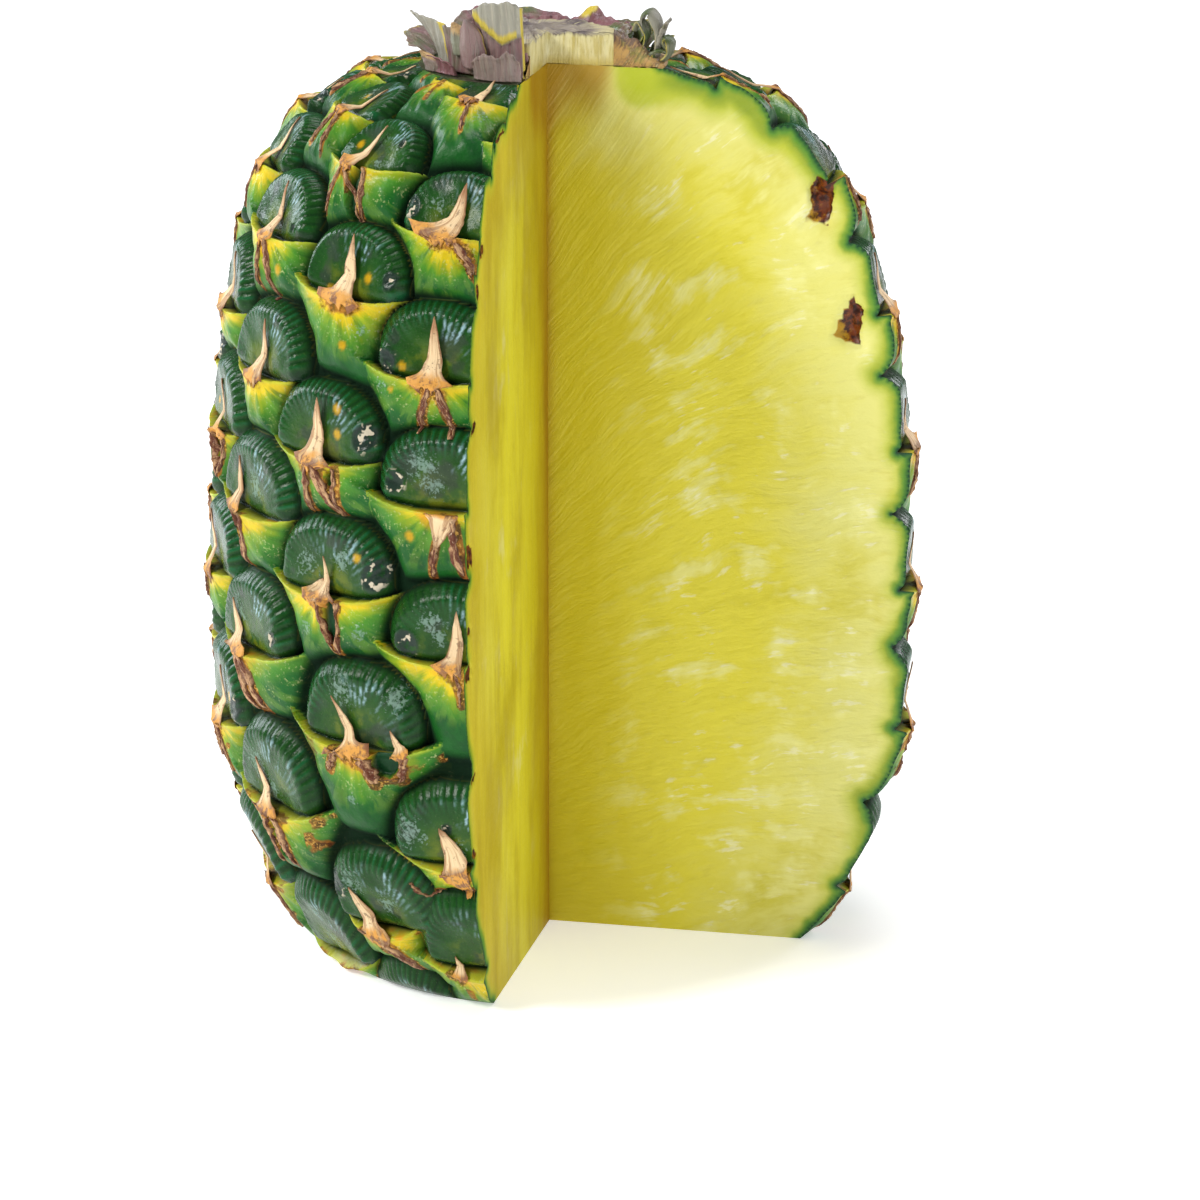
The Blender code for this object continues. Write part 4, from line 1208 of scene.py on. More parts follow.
def face_mesh(edge):
    """Points and triangles that fill a cut face inside the skin's edge, finer near the rind."""
    share = np.linspace(0.0, 1.0, END_RINGS)[1:]
    lid = edge[-1] + (np.array([0.0, BODY_TOP]) - edge[-1]) * share[:, None]
    inner = np.stack([np.zeros(CORNER_STEPS), np.linspace(BODY_TOP, 0.0, CORNER_STEPS + 1)[1:]], -1)
    ring = np.concatenate([edge, lid, inner, edge[0] * share[:-1, None]])
    grids = []
    for step, low, high in ((FACE_STEP, FACE_RIM, FAR), (FACE_RIM_STEP, 0.35, FACE_RIM)):
        out, up = np.meshgrid(*(np.arange(0.5 * step, last, step) for last in (HULL_RADIUS + 4, BODY_TOP)))
        spots = np.stack([out.ravel(), up.ravel()], -1)
        spots += np.random.default_rng(SEED).uniform(-0.2, 0.2, spots.shape) * step
        nearest = edge_distance(spots, edge)
        clear = (np.minimum(spots[:, 0], nearest) > 0.3 * step) & (spots[:, 1] > 0.3 * step)
        spots = spots[(nearest > low) & (nearest <= high) & clear]
        grids.append(spots[polygon_depth(spots, ring[::3]) > 0.25])
    spots = np.concatenate([ring, *grids])
    bound = [(k, (k + 1) % len(ring)) for k in range(len(ring))]
    made = delaunay_2d_cdt([Vector(spot) for spot in spots], bound, [], 1, 1e-5)
    return np.array([tuple(spot) for spot in made[0]]), np.array([tuple(face) for face in made[2]])


def flow_lines(out, up):
    """A number that stays the same along a fibre, which is steep at the core, most of all high up, then flatter."""
    start = up.copy()
    for _ in range(FLOW_ROUNDS):
        steep = np.clip(0.1 + 0.0125 * start, 0.05, 1.6)
        start = 0.5 * start + 0.5 * (up - steep * out * (1.0 - 0.0085 * out))
    return start + 2.0 * ripples(out / 15.0, up / 15.0, 28) + 0.4 * ripples(out / 4.0, up / 4.0, 29)


def face_pits(place):
    """How much each point lies in a brown hollow, and how dark the hollow is there."""
    pit, tone = np.zeros(len(place)), np.zeros(len(place))
    for corners in PITS:
        rough = 0.3 * ripples(place[:, 0] / 0.9, place[:, 1] / 0.9, 21)
        inside = smoothstep(-0.35, 0.45, polygon_depth(place, corners) + rough)
        low, high = np.min(corners, axis=0), np.max(corners, axis=0)
        x, z = ((place - low) / (high - low)).T
        tone = np.where(inside > pit, 0.1 + 0.7 * x + 0.35 * z, tone)
        pit = np.maximum(pit, inside)
    return pit, tone


def face_specks(out, up, edge):
    """How much each point lies in a brown speck on the face's edge."""
    pit = np.zeros(len(out))
    edge_at = np.interp(up, np.maximum.accumulate(edge[:, 1]), edge[:, 0])
    rough = 0.4 * ripples(out / 0.8, up / 0.8, 25)
    for z, half_width, half_height in SPECKS:
        dx, dz = (out - edge_at + 0.7 + 1.8 * half_width) / (1.8 * half_width), (up - z) / half_height
        pit = np.maximum(pit, falling(0.6, 1.1, np.hypot(dx, dz) + rough))
    return pit


def right_face(out, up, edge):
    """How deep the right cut face is worn at each point, and its marks."""
    pit, tone = face_pits(np.stack([CUT_X + out, up], -1))
    depth = PIT_DEPTH * pit * (0.7 + 0.3 * ripples(out / 1.3, up / 1.3, 22))
    depth += 0.14 * np.abs(ripples(out / 6, up / 9, 23)) + 0.1 * np.abs(ripples(out / 2.1, up / 2.1, 30))
    shoulder = smoothstep(128.0, 146.0, up) * SHOULDER_GREEN
    lime = LIME_GREEN * bell(out + CUT_X - LIME_X, LIME_WIDTH) * smoothstep(140.0, 150.0, up)
    stain_and_corner_shade = 1.05 * np.clip(1.0 - (BODY_TOP - up) / TOP_STAIN, 0, 1) * falling(8.0, 14.0, out)
    # Painted shade: a thin darker band along the inner corner.
    stain_and_corner_shade += 0.85 * np.exp(-out / 1.5) * (0.5 + 0.5 * smoothstep(40.0, 150.0, up))
    wave = 0.9 * ripples(up / 7.0 + 3, out / 9.0, 24) + shoulder + lime
    return depth, {"along": out, "flow": flow_lines(out, up), "core": np.clip(out / RIGHT_RIPE, 0, 1),
                   "pit": pit, "pit_tone": tone, "wave": wave, "stain_and_corner_shade": stain_and_corner_shade}


def left_face(out, up, edge):
    """How deep the left cut face is worn at each point, and its marks."""
    pit = face_specks(out, up, edge)
    # The top is stained, and painted shade darkens the face near the inner corner.
    stain_and_corner_shade = np.clip(1.0 - (BODY_TOP - up) / TOP_STAIN, 0, 1) * falling(9.0, 15.0, out) + np.exp(-out / 7.0)
    flow = 0.3 * out + 0.3 * ripples(out / 9.0, up / 30.0, 28)
    depth = SPECK_DEPTH * pit + 0.12 * np.abs(ripples(out / 5, up / 14, 26))
    wave = 0.4 * ripples(up / 9.0, 0.0 * up + 0.5, 27)
    return depth, {"along": 0.3 * up, "flow": flow, "core": np.clip(out / LEFT_RIPE, 0, 1),
                   "pit": pit, "pit_tone": np.full(len(out), SPECK_TONE), "wave": wave, "stain_and_corner_shade": stain_and_corner_shade}


def build_flesh(rind, settings):
    """The two cut faces."""
    right, left = (Fruit.of(rind).points[:, column] for column in (0, -1))
    for name, edge, look, material in (
            ("cut_face_right", np.stack([right[:, 0] - CUT_X, right[:, 2]], -1), right_face,
             flesh_material(settings, "flesh", False)),
            ("cut_face_left", np.stack([-left[:, 1], left[:, 2]], -1), left_face,
             flesh_material(settings, "flesh_shaded", True))):
        place, faces = face_mesh(edge)
        out, up = place.T
        distance = edge_distance(place, edge)
        inner = smoothstep(0.5, 2.5, np.minimum(np.minimum(distance, out), np.minimum(up, BODY_TOP - up)))
        depth, marks = look(out, up, edge)
        depth *= inner
        points = (CUT_X + out, depth, up) if look is right_face else (CUT_X - depth, -out, up)
        make_piece(name, np.stack(points, -1), faces, {"rind": distance, **marks}, material,
                   ["fruit"])


def build_ends(rind):
    """The flat scar under the fruit and the lid under the crown, as fans from the inner corner of the cut."""
    fruit = Fruit.of(rind)
    share = down_grid(END_RINGS)
    for name, rim, level, way, light, dark in (
            ("base_scar", fruit.points[0], 0.0, 1, paint(112, 84, 52), paint(70, 52, 34)),
            ("crown_seat", fruit.points[-1], BODY_TOP, -1, paint(74, 88, 46), paint(60, 50, 34))):
        corner = np.array([CUT_X, 0.0, level])
        points = corner + (rim[None, ::3] - corner) * share[:, :, None]
        rough = np.abs(ripples(points[..., 0] / 2.4, points[..., 1] / 2.4, 31))
        points[..., 2] += way * END_SUNK * rough * np.sin(math.pi * share)
        faces = grid_faces(*points.shape[:2])[:, ::-way]
        make_piece(name, points, faces, {}, scar_material(name, light, dark), ["fruit"])


# The crown's stump


STEM_RADIUS = 12.4
STEM_TOP = 158.7
STUB_FOOT = 153.3
STEM_FOOT = BODY_TOP - 0.1
STEM_ROWS = 30
STEM_CAP_ROWS = 26
STEM_SIDES = 300
STEM_CUT_SIDES = 60
STEM_FLUTES = 61.0
STEM_FLUTE_HEIGHT = 0.12
# The middle of the stump's top, from its axis.
STEM_MIDDLE = (-3.0, 3.0)
# Where the stump's axis stands along X.
CROWN_X = float(lean(BODY_TOP))

# The leaf bases round the stem. Each has the node it stands for, its first and last degree, the radius of its
# foot, its height, how far it leans out, and how it tapers, how ragged and how curled its edge is. Its tint is
# (0 olive to 1 violet-brown, 0 dark to 1 pale grey, 0 to 1 yellow edges). A shape of its own is a list of
# (share of the width, share of the height) for its torn top edge.
LEAVES = (
    ("leaf_base_01", 0, 56, 13.1, 6.4, 1.2, 0.5, 0.7, (0.5, 0.15, 0.3), None),
    ("leaf_base_02", 63, 116, 13.0, 5.6, 0.8, 0.6, 0.5, (0.8, 0.1, 0.2), None),
    ("leaf_base_03", 123, 180, 13.1, 5.4, 1.0, 0.5, 0.4, (0.7, 0.2, 0.2), None),
    ("leaf_base_04", 187, 236, 13.1, 7.2, 1.4, 0.4, 0.3, (0.6, 0.35, 0.4), None),
    ("leaf_base_05", 243, 360, 13.0, 6.2, 1.2, 0.4, 0.3, (0.9, 0.35, 0.3), None),
    ("leaf_base_06", 0, 34, 15.9, 7.6, 2.2, 0.6, 1.0, (0.3, 0.25, 0.5),
     ((0, 0.62), (0.25, 0.8), (0.6, 1.0), (1, 0.7))),
    ("leaf_base_07", 42, 100, 15.8, 6.4, 2.4, 0.9, 1.2, (0.75, 0.05, 0.25),
     ((0, 0.72), (0.2, 0.8), (0.48, 0.84), (0.56, 1.12), (0.64, 1.08), (0.72, 0.8), (0.85, 0.74), (1, 0.6))),
    ("leaf_base_08", 108, 158, 15.9, 7.0, 2.6, 0.6, 0.8, (0.6, 0.25, 0.2), None),
    ("leaf_base_09", 184, 226, 16.0, 8.4, 6.0, 0.2, 0.0, (0.45, 0.75, 0.8),
     ((0, 0.86), (0.05, 0.98), (0.3, 0.99), (0.6, 0.9), (0.85, 0.76), (1, 0.7))),
    ("leaf_base_10", 212, 241, 16.0, 7.6, 1.0, 0.5, 0.2, (0.6, 0.4, 0.3),
     ((0, 0.95), (0.5, 1.02), (0.8, 0.94), (1, 0.85))),
    ("leaf_base_11", 243, 360, 15.9, 12.7, 2.4, 0.25, 0.0, (0.9, 0.2, 0.2),
     ((0, 0.78), (0.1, 0.9), (0.3, 0.97), (0.7, 1.02), (0.9, 1.0), (1, 0.95))),
    ("leaf_base_12", 0, 26, 18.7, 5.6, 2.6, 0.9, 1.0, (0.15, 0.1, 0.5),
     ((0, 0.5), (0.4, 0.9), (0.7, 0.7), (1, 0.55))),
    ("leaf_base_13", 34, 80, 18.8, 4.5, 4.2, 0.8, 1.4, (0.35, 0.15, 0.4), None),
    ("leaf_base_14", 88, 132, 18.9, 5.5, 4.0, 0.8, 1.0, (0.6, 0.1, 0.3), None),
    ("leaf_base_15", 140, 186, 18.9, 4.0, 4.8, 0.8, 0.6, (0.55, 0.35, 0.4), None),
    ("leaf_base_16", 196, 236, 18.9, 3.2, 1.2, 0.7, 0.4, (0.85, 0.25, 0.3), None),
    ("leaf_base_17", 248, 360, 18.8, 5.4, 2.0, 0.6, 0.2, (1.0, 0.5, 0.2),
     ((0, 0.55), (0.3, 0.9), (0.55, 0.75), (0.8, 1.0), (1, 0.7))),
)
LEAF_ROWS = 34
LEAF_COLUMNS = 44
# A leaf base that starts at 0 degrees stands this far behind the right cut face, in radians. One that ends at
# this degree is cut flush with the left one.
BEHIND_FACE = 0.024
CUT_EDGE = 360
# The leaf bases with a look of their own: one has a yellow spot, and one hangs out to the left with a
# yellow edge.
SPOTTED_LEAF = 7
CLAW_LEAF = 9
# The grey sheet of the tallest leaf hangs over its violet back in a point: the point's degree and height.
TALL_LEAF = 11
SHEET_POINT = (261.5, 158.8)
SHEET_SLOPES = (0.25, 0.155)
SHEET_SWELL = 0.5

# Curled strips of torn leaf beside the right cut face: width, tint and the points that they run through.
CURLS = (
    (2.7, (0.05, 0.75, 0.3), ((16.3, 1.9, 154.6), (16.7, 1.6, 157.6), (16.3, 1.3, 160.6), (15.0, 1.2, 162.4),
                              (13.7, 1.2, 161.6), (13.3, 1.4, 159.6), (13.9, 1.6, 157.6))),
    (2.0, (0.2, 0.5, 0.5), ((12.4, 1.6, 158.8), (13.3, 1.2, 160.2), (14.3, 1.0, 158.6), (13.7, 1.1, 156.6),
                            (12.6, 1.2, 155.4))),
    (2.4, (0.1, 0.45, 0.5), ((17.2, 1.5, 153.8), (18.4, 1.3, 155.0), (18.9, 1.0, 156.9), (17.9, 0.9, 158.2),
                             (17.0, 1.0, 157.2), (17.4, 1.2, 155.9))),
    (1.6, (0.5, 0.95, 0.2), ((16.6, 1.3, 156.4), (17.2, 1.2, 158.2), (18.0, 1.1, 160.2), (18.7, 1.0, 161.0))),
    (1.7, (0.35, 0.4, 0.3), ((14.9, 1.0, 154.0), (15.8, 0.9, 155.2), (16.9, 0.9, 155.6), (17.8, 1.0, 155.0))),
)
CURL_LEAF = "leaf_base_12"
CURL_STEPS = 40
CURL_COLUMNS = 9
CURL_THICKNESS = 0.28
# Rounded or torn scales over the leaf bases: degrees, radius, foot and top, tilt out, tint, dryness.
SCALES = (
    ("leaf_base_10", 233, 252, 18.2, 154.6, 163.0, 0.7, (1.0, 0.42, 0.1), 0.25),
    ("leaf_base_10", 224, 240, 17.8, 156.4, 162.0, 0.7, (0.5, 0.5, 0.2), 1.0),
    ("leaf_base_16", 203, 226, 20.0, 153.2, 156.6, 1.2, (0.9, 0.5, 0.2), 1.0),
)
SCALE_STEPS = 22

# The fleshy ring that the leaf bases grow from: (radius, height) round its section.
COLLAR = (
    (12.5, 152.8), (21.0, 152.8), (21.4, 153.3), (20.2, 154.0), (18.2, 154.3), (16.6, 155.3), (14.6, 155.4),
    (12.5, 156.6),
)
COLLAR_INSIDE, COLLAR_FOOT = COLLAR[0]
COLLAR_SIDES = 220
COLLAR_STEPS = 8


def leaf_material():
    """Torn leaf bases: olive or violet-brown with long fibres, pale grey sheets and yellow edges."""
    m = Material("leaf_base")
    rise, side, warm, light, yellow, dry = m.marks("rise", "side", "warm", "light", "yellow", "dry")
    fibre = m.fibres(4.0, 0.62, side * 9.0, rise * 1.1, warm * 7.0)
    broad, grain = m.noise(230.0), m.noise(1500.0, 3.0, 0.6)
    edges = (yellow + (fibre - 0.5) * 0.7 * yellow.step(0.05, 0.3)).step(0.3, 0.8)
    dried = (dry + (fibre - 0.5) * 0.6 * dry.step(0.05, 0.3)).step(0.35, 0.8)
    colour = m.coated(
        paint(82, 100, 52), (paint(136, 90, 96), (warm + (broad - 0.5) * 1.2).step(0.3, 0.75)),
        (paint(42, 36, 38), ((fibre + broad) * 0.5).step(0.5, 0.62) * 0.65 * (1.0 - light)),
        (paint(168, 164, 150), (light + (fibre - 0.5) * 0.5).step(0.2, 0.75) * 0.9),
        (paint(206, 196, 176), (light.step(0.5, 0.9) * fibre.step(0.52, 0.68) * 0.45).clamped()),
        (paint(120, 118, 124), light.step(0.3, 0.6) * broad.step(0.55, 0.7) * 0.5),
        (paint(212, 190, 52), edges * 0.9), (paint(206, 168, 112), dried * 0.9),
        (paint(112, 66, 38), dry.step(0.3, 0.6) * grain.step(0.52, 0.66) * 0.5))
    return m.finish(
        Base_Color=colour, Roughness=(0.34 + dry * 0.3 + (grain - 0.5) * 0.2).clamped(),
        Normal=m.bump(fibre + grain * 0.3, 0.0006, 0.8))


def stem_material():
    """Cream cut stem with upright fibres, darker and bruised at its torn top."""
    m = Material("stem_flesh")
    rise, way = m.marks("rise", "way")
    fibre = m.fibres(4.0, 0.6, way * 1.5, rise * 0.9, 4.0)
    broad, grain = m.noise(150.0), m.noise(1100.0, 3.0, 0.6)
    torn = (rise + (fibre - 0.5) * 0.5 + (broad - 0.5) * 0.4).step(0.86, 1.12)
    colour = m.coated(
        paint(226, 216, 160), (paint(198, 182, 110), fibre.step(0.42, 0.66)),
        (paint(190, 168, 70), (rise + (fibre - 0.5) * 0.4).below(0.0, 0.35) * 0.8),
        (paint(238, 234, 200), broad.step(0.5, 0.7) * 0.5),
        (m.mix(paint(150, 138, 128), paint(92, 78, 84), broad.step(0.45, 0.6)), torn),
        (paint(120, 96, 60), grain.step(0.62, 0.74) * 0.4))
    return m.finish(
        Base_Color=colour, Roughness=0.5, Normal=m.bump(fibre + grain * 0.4, 0.0007, 0.8), Coat_Weight=0.1)


def collar_material():
    """The tan and brown foot of the leaf bases, with slanting fibres and olive streaks."""
    m = Material("leaf_foot")
    rise, way = m.marks("rise", "way")
    fibre = m.fibres(4.0, 0.65, way * 0.9 - rise * 6.0, rise * 2.4, 6.0)
    broad, grain = m.noise(300.0, 3.0, 0.6), m.noise(1200.0, 3.0, 0.6)
    colour = m.coated(
        paint(200, 160, 98), (paint(116, 84, 66), (fibre * 0.6 + broad * 0.4).step(0.46, 0.58)),
        (paint(230, 208, 144), fibre.step(0.54, 0.66) * 0.8),
        (paint(142, 144, 62), broad.step(0.52, 0.64) * 0.6),
        (paint(86, 66, 72), (rise + (fibre - 0.5) * 0.4).step(0.34, 0.6) * 0.75))
    return m.finish(Base_Color=colour, Roughness=0.5, Normal=m.bump(fibre + grain * 0.4, 0.0007, 0.9))


def leaf_marks(rise, side, tint, yellow, dry=0.0):
    return {"rise": rise, "side": side, "warm": tint[0], "light": tint[1], "yellow": yellow, "dry": dry}


def round_stump(reach, turn, level):
    """Points this far from the stump's axis."""
    return np.stack([CROWN_X + reach * np.cos(turn), reach * np.sin(turn), level], -1)


def cut_turn(radius):
    """The angle round the crown at which a circle of this radius meets the cut face x = CUT_X."""
    return THREE_QUARTERS + np.arcsin((CUT_X - CROWN_X) / radius)


def leaf_shell(number, leaf):
    """One torn leaf base as a thin closed shell over the place of its solid."""
    _, start, end, radius, height, flare, ragged, curl, tint, edge = leaf
    rise = down_grid(LEAF_ROWS)
    share = across_grid(LEAF_COLUMNS)
    across = 2.0 * share - 1.0
    top = np.interp(share, *zip(*edge)) if edge else 1.0 - 0.35 * np.abs(across) ** 1.8
    rough = ripples(share * 7.0 + number * 5, 0.0 * share + 0.4, 41)
    rough = rough + 0.6 * ripples(share * 19.0, 0.0 * share + number, 42)
    lift = rise * (height * (top + 0.09 * ragged * rough))
    roll = curl * smoothstep(0.55, 1.0, rise) ** 2 * (1.0 + 0.6 * ripples(share * 4.0 + number, rise, 43))
    spread = flare * (1.15 - 1.4 * share) if number == CLAW_LEAF else flare
    reach = radius + spread * np.clip(lift / height, 0.0, 1.3) ** 1.5 + roll
    reach = reach + 0.22 * np.cos(across * math.pi * 7.0 + number) * (0.3 + 0.7 * rise)
    reach = reach + 0.5 * ripples(share * 5.0 + number * 3, rise * 1.6, 44) * rise
    lift = lift - 0.6 * roll * (rise > 0.8)
    thick = (0.35 + 0.75 * (1.0 - rise)) * (0.45 + 0.55 * (1.0 - across**2))
    sheets = []
    for around in (reach + thick, reach):
        last = cut_turn(around) if end == CUT_EDGE else math.radians(end)
        first = math.radians(start) if start else BEHIND_FACE
        turn = first + (last - first) * share
        sheets.append(round_stump(around, turn, STUB_FOOT + lift))
    edges = smoothstep(0.9, 1.0, rise) + smoothstep(0.93, 1.0, np.abs(across))
    yellow = tint[2] * np.clip(edges, 0.0, 1.0) + 0.35 * tint[2] * bell(across, 0.12)
    marks = leaf_marks(rise, across, tint, yellow)
    if number == TALL_LEAF:
        aside = np.degrees(turn) - SHEET_POINT[0]
        slope = np.where(aside < 0, -SHEET_SLOPES[0], SHEET_SLOPES[1])
        point = STUB_FOOT + lift - SHEET_POINT[1] - slope * aside
        sheet = smoothstep(-0.4, 0.6, point)
        marks["light"] = 0.4 + 0.45 * sheet
        marks["warm"] = 1.0 - 0.7 * sheet
        left = 0.75 * (aside < 9.0) * bell(point - 0.8)
        yellow = left + 0.9 * smoothstep(0.95, 0.985, share) + 0.36 * (1 - share) * sheet
        marks["yellow"] = np.clip(yellow, 0.0, 1.0)
        outward = np.stack([np.cos(turn), np.sin(turn), 0 * turn], -1)
        sheets[0] = sheets[0] + SHEET_SWELL * sheet[..., None] * outward
    if number == SPOTTED_LEAF:
        marks["yellow"] = bell(share - 0.6, 0.07) * smoothstep(0.5, 0.8, rise)
    if number == CLAW_LEAF:
        marks["yellow"] = bell(across - 0.25 - 0.5 * (1 - rise), 0.12)
    return shell(*sheets, marks)


def scale_shell(number, start, end, radius, foot, top, tilt, tint, dry):
    """A rounded scale over the leaf bases."""
    rise = down_grid(SCALE_STEPS)
    across = across_grid(SCALE_STEPS, -1.0, 1.0)
    half = math.radians(end - start) / 2
    width = np.sqrt(np.clip(1.0 - (2.0 * rise - 0.85) ** 2 / 1.45, 0.02, 1.0))
    rough = 1.0 + 0.08 * ripples(rise * 5, across * 2 + number, 45)
    turn = math.radians((start + end) / 2) + half * width * across * rough
    lift = foot + (top - foot) * rise * (1.0 - 0.12 * across**2)
    reach = radius + tilt * rise**1.4 - 0.9 * across**2 + 0.12 * ripples(rise * 5 + number, across * 3, 46)
    thick = 0.55 - 0.3 * np.abs(across)
    marks = leaf_marks(rise, across, tint, 0.6 * smoothstep(0.8, 1.0, across),
                       dry * smoothstep(0.3, 1.0, rise))
    return shell(round_stump(reach + thick, turn, lift), round_stump(reach, turn, lift), marks)


def curl_shell(width, tint, way):
    """A curled strip of torn leaf along a smooth way."""
    ends = lengthened(np.array(way))
    at = np.linspace(0.0, len(way) - 1.0, CURL_STEPS)
    low = np.clip(at.astype(int), 0, len(way) - 2)
    spine = spline(*(ends[low + k] for k in range(4)), (at - low)[:, None])
    along = np.gradient(spine, axis=0)
    along /= np.linalg.norm(along, axis=1, keepdims=True)
    share = down_grid(CURL_STEPS)
    across = across_grid(CURL_COLUMNS, -1.0, 1.0)
    side = np.array([0.25, 0.95, 0.15]) + 0.35 * np.sin(share * 5.0) * np.array([1.0, 0.0, 0.6])
    side -= (side * along).sum(1, keepdims=True) * along
    side /= np.linalg.norm(side, axis=1, keepdims=True)
    face = np.cross(along, side)
    half = 0.5 * width * (0.35 + 0.65 * np.sin(math.pi * (0.12 + 0.8 * share)) ** 0.7)
    half = half * (1.0 + 0.18 * ripples(share * 9.0, across * 1.5 + width, 47))
    cup = 0.35 * across**2
    middle = spine[:, None] + side[:, None] * (half * across)[..., None] + face[:, None] * cup[..., None]
    thick = face[:, None] * (CURL_THICKNESS * (1.0 - 0.5 * across**2) * (1.0 - 0.5 * share))[..., None]
    marks = leaf_marks(share, across, tint, tint[2] * smoothstep(0.6, 1.0, np.abs(across)))
    # Painted shade: the strip's middle loses its pale grey, so it looks dark inside the curl.
    marks["light"] = tint[1] * (1.0 - 0.6 * smoothstep(0.4, 0.55, share) * falling(0.6, 0.8, share))
    return shell(middle + thick, middle - thick, marks)


def build_leaves():
    """The torn leaf bases, the scales over them and the curled strips."""
    material = leaf_material()
    extra = {leaf[0]: [] for leaf in LEAVES}
    for number, scale in enumerate(SCALES):
        extra[scale[0]].append(scale_shell(number, *scale[1:]))
    extra[CURL_LEAF].extend(curl_shell(*curl) for curl in CURLS)
    for number, leaf in enumerate(LEAVES, start=1):
        points, faces, marks = join_shells([leaf_shell(number, leaf), *extra[leaf[0]]])
        make_piece(leaf[0].replace("base", "torn"), points, faces, marks, material, [leaf[0]])


def build_collar():
    """The fleshy ring round the stem, cut flat at both faces."""
    section = np.array(COLLAR)
    loop = np.vstack([section, section[:1]])
    steps = np.linspace(0, 1, COLLAR_STEPS + 1)[:-1, None]
    fine = np.concatenate([a + (b - a) * steps for a, b in zip(loop, loop[1:])] + [loop[-1:]])
    middle = section.mean(axis=0)
    share = down_grid(COLLAR_SIDES)
    reach, level = (values + 0.0 * share for values in fine.T)
    top = smoothstep(153.0, 154.2, level)
    near_face = falling(0.012, 0.05, share)
    narrow = 0.4 + 0.6 * falling(0.06, 0.14, share)
    reach = COLLAR_INSIDE + (reach - COLLAR_INSIDE) * narrow
    level = level + top * near_face * 2.2 * falling(16.5, 19.5, reach)
    level = level + 0.35 * top * ripples(share * 70.0, reach / 1.6, 61)
    reach = reach + 0.3 * smoothstep(19.0, 21.0, reach) * ripples(share * 60.0, level, 62)
    ring = round_stump(reach, cut_turn(reach) * share, level)
    ring[0, :, 1], ring[-1, :, 0] = 0.0, CUT_X
    ends = [np.broadcast_to(np.array(spot), ring[:1].shape) for spot in (
        (CROWN_X + middle[0], 0.0, middle[1]),
        (CUT_X, float(middle[0] * np.sin(cut_turn(middle[0]))), middle[1]))]
    points = np.concatenate([ends[0], ring, ends[1]])
    marks = {"rise": np.clip((points[..., 2] - COLLAR_FOOT) / 8.0, 0.0, 0.6),
             "way": np.hypot(points[..., 0], points[..., 1]) * 1.4}
    make_grid("leaf_collar", points, marks, collar_material(), ["crown_stem"])


def build_stem():
    """The stump of the crown's stem with the same quarter missing as the fruit."""
    turn = np.linspace(0.0, float(cut_turn(STEM_RADIUS)), STEM_SIDES)
    wall = round_stump(STEM_RADIUS, turn, 0 * turn)[:, :2]
    outward = np.stack([np.cos(turn), np.sin(turn)], -1)
    wall += STEM_FLUTE_HEIGHT * np.cos(turn * STEM_FLUTES)[:, None] * outward
    wall[0, 1], wall[-1, 0] = 0.0, CUT_X
    corner = np.array([CUT_X, 0.0])
    share = np.linspace(0.0, 1.0, STEM_CUT_SIDES)[1:, None]
    rim = np.vstack([wall, wall[-1] + (corner - wall[-1]) * share, corner + (wall[0] - corner) * share])
    way = np.concatenate([[0.0], np.cumsum(np.hypot(*np.diff(rim, axis=0).T))])
    rough = 0.3 * ripples(way / 0.9, 0 * way + 0.5, 51) + 0.45 * ripples(way / 3.1, 0 * way + 0.5, 52)
    rise = down_grid(STEM_ROWS)
    level = STEM_FOOT + (STEM_TOP - STEM_FOOT) * rise + rough * rise**3 - 0.4 * rise**6
    sides = np.stack([*(np.broadcast_to(values, level.shape) for values in rim.T), level], -1)
    middle = np.array([CROWN_X + STEM_MIDDLE[0], STEM_MIDDLE[1]])
    inward = np.linspace(0.0, 1.0, STEM_CAP_ROWS)[1:, None]
    flat = rim + (middle - rim) * inward[..., None]
    level = sides[-1, :, 2] * (1 - inward) + STEM_TOP * inward
    bumps = ripples(flat[..., 0] / 1.4, flat[..., 1] / 1.4, 53)
    level = level + 0.55 * bumps * np.sin(math.pi * inward) ** 0.5
    points = np.concatenate([sides, np.concatenate([flat, level[..., None]], -1)])
    rise = np.concatenate([rise, 1.0 + 0.25 * inward])
    marks = {name: np.broadcast_to(values, points.shape[:2])
             for name, values in (("rise", rise), ("way", way))}
    make_grid("torn_stem", points, marks, stem_material(), ["crown_stem"])
    build_collar()


# The stage


# Area lights, all aimed at the fruit's middle: place and size in metres, power and colour.
LIGHTS = (
    ("key", (-0.85, -0.7, 0.95), 13.5, 0.4, (1.0, 0.99, 0.96)),
    ("fill", (0.95, -0.85, 0.5), 3.0, 0.8, (1.0, 1.0, 1.0)),
    ("top", (0.1, 0.3, 1.3), 7.5, 0.6, (1.0, 1.0, 1.0)),
    ("right_rim", (0.75, 1.0, 0.6), 6.0, 0.4, (0.94, 0.92, 1.0)),
    ("left_rim", (-1.1, 0.45, 0.5), 8.0, 0.5, (0.86, 0.93, 1.0)),
)
LIGHT_AIM = (0, 0, 0.08)
SKY = (0.97, 0.98, 1.0, 1.0)
SKY_STRENGTH = 0.2
# Half the floor's side, in metres.
FLOOR_HALF = 4.0
FLOOR_PALE = (0.97, 0.97, 0.97)
FLOOR_GLOW = 0.42

# The camera's place as the photograph shows it, in degrees and metres, and where it aims beside the
# fruit's middle.
CAMERA_AZIMUTH = 12.74
CAMERA_ELEVATION = 15.0
MIDDLE_HEIGHT = 0.082
AIM_RIGHT = 0.00645
AIM_DOWN = 0.0221
SENSOR = 36.0
LENS = 157.0


def set_up(name, data, place, aim):
    """Puts a lamp or camera at a place, aimed at another."""
    made = bpy.data.objects.new(name, data)
    made.location = place
    made.rotation_euler = (Vector(aim) - Vector(place)).to_track_quat("-Z", "Y").to_euler()
    bpy.context.scene.collection.objects.link(made)
    return made


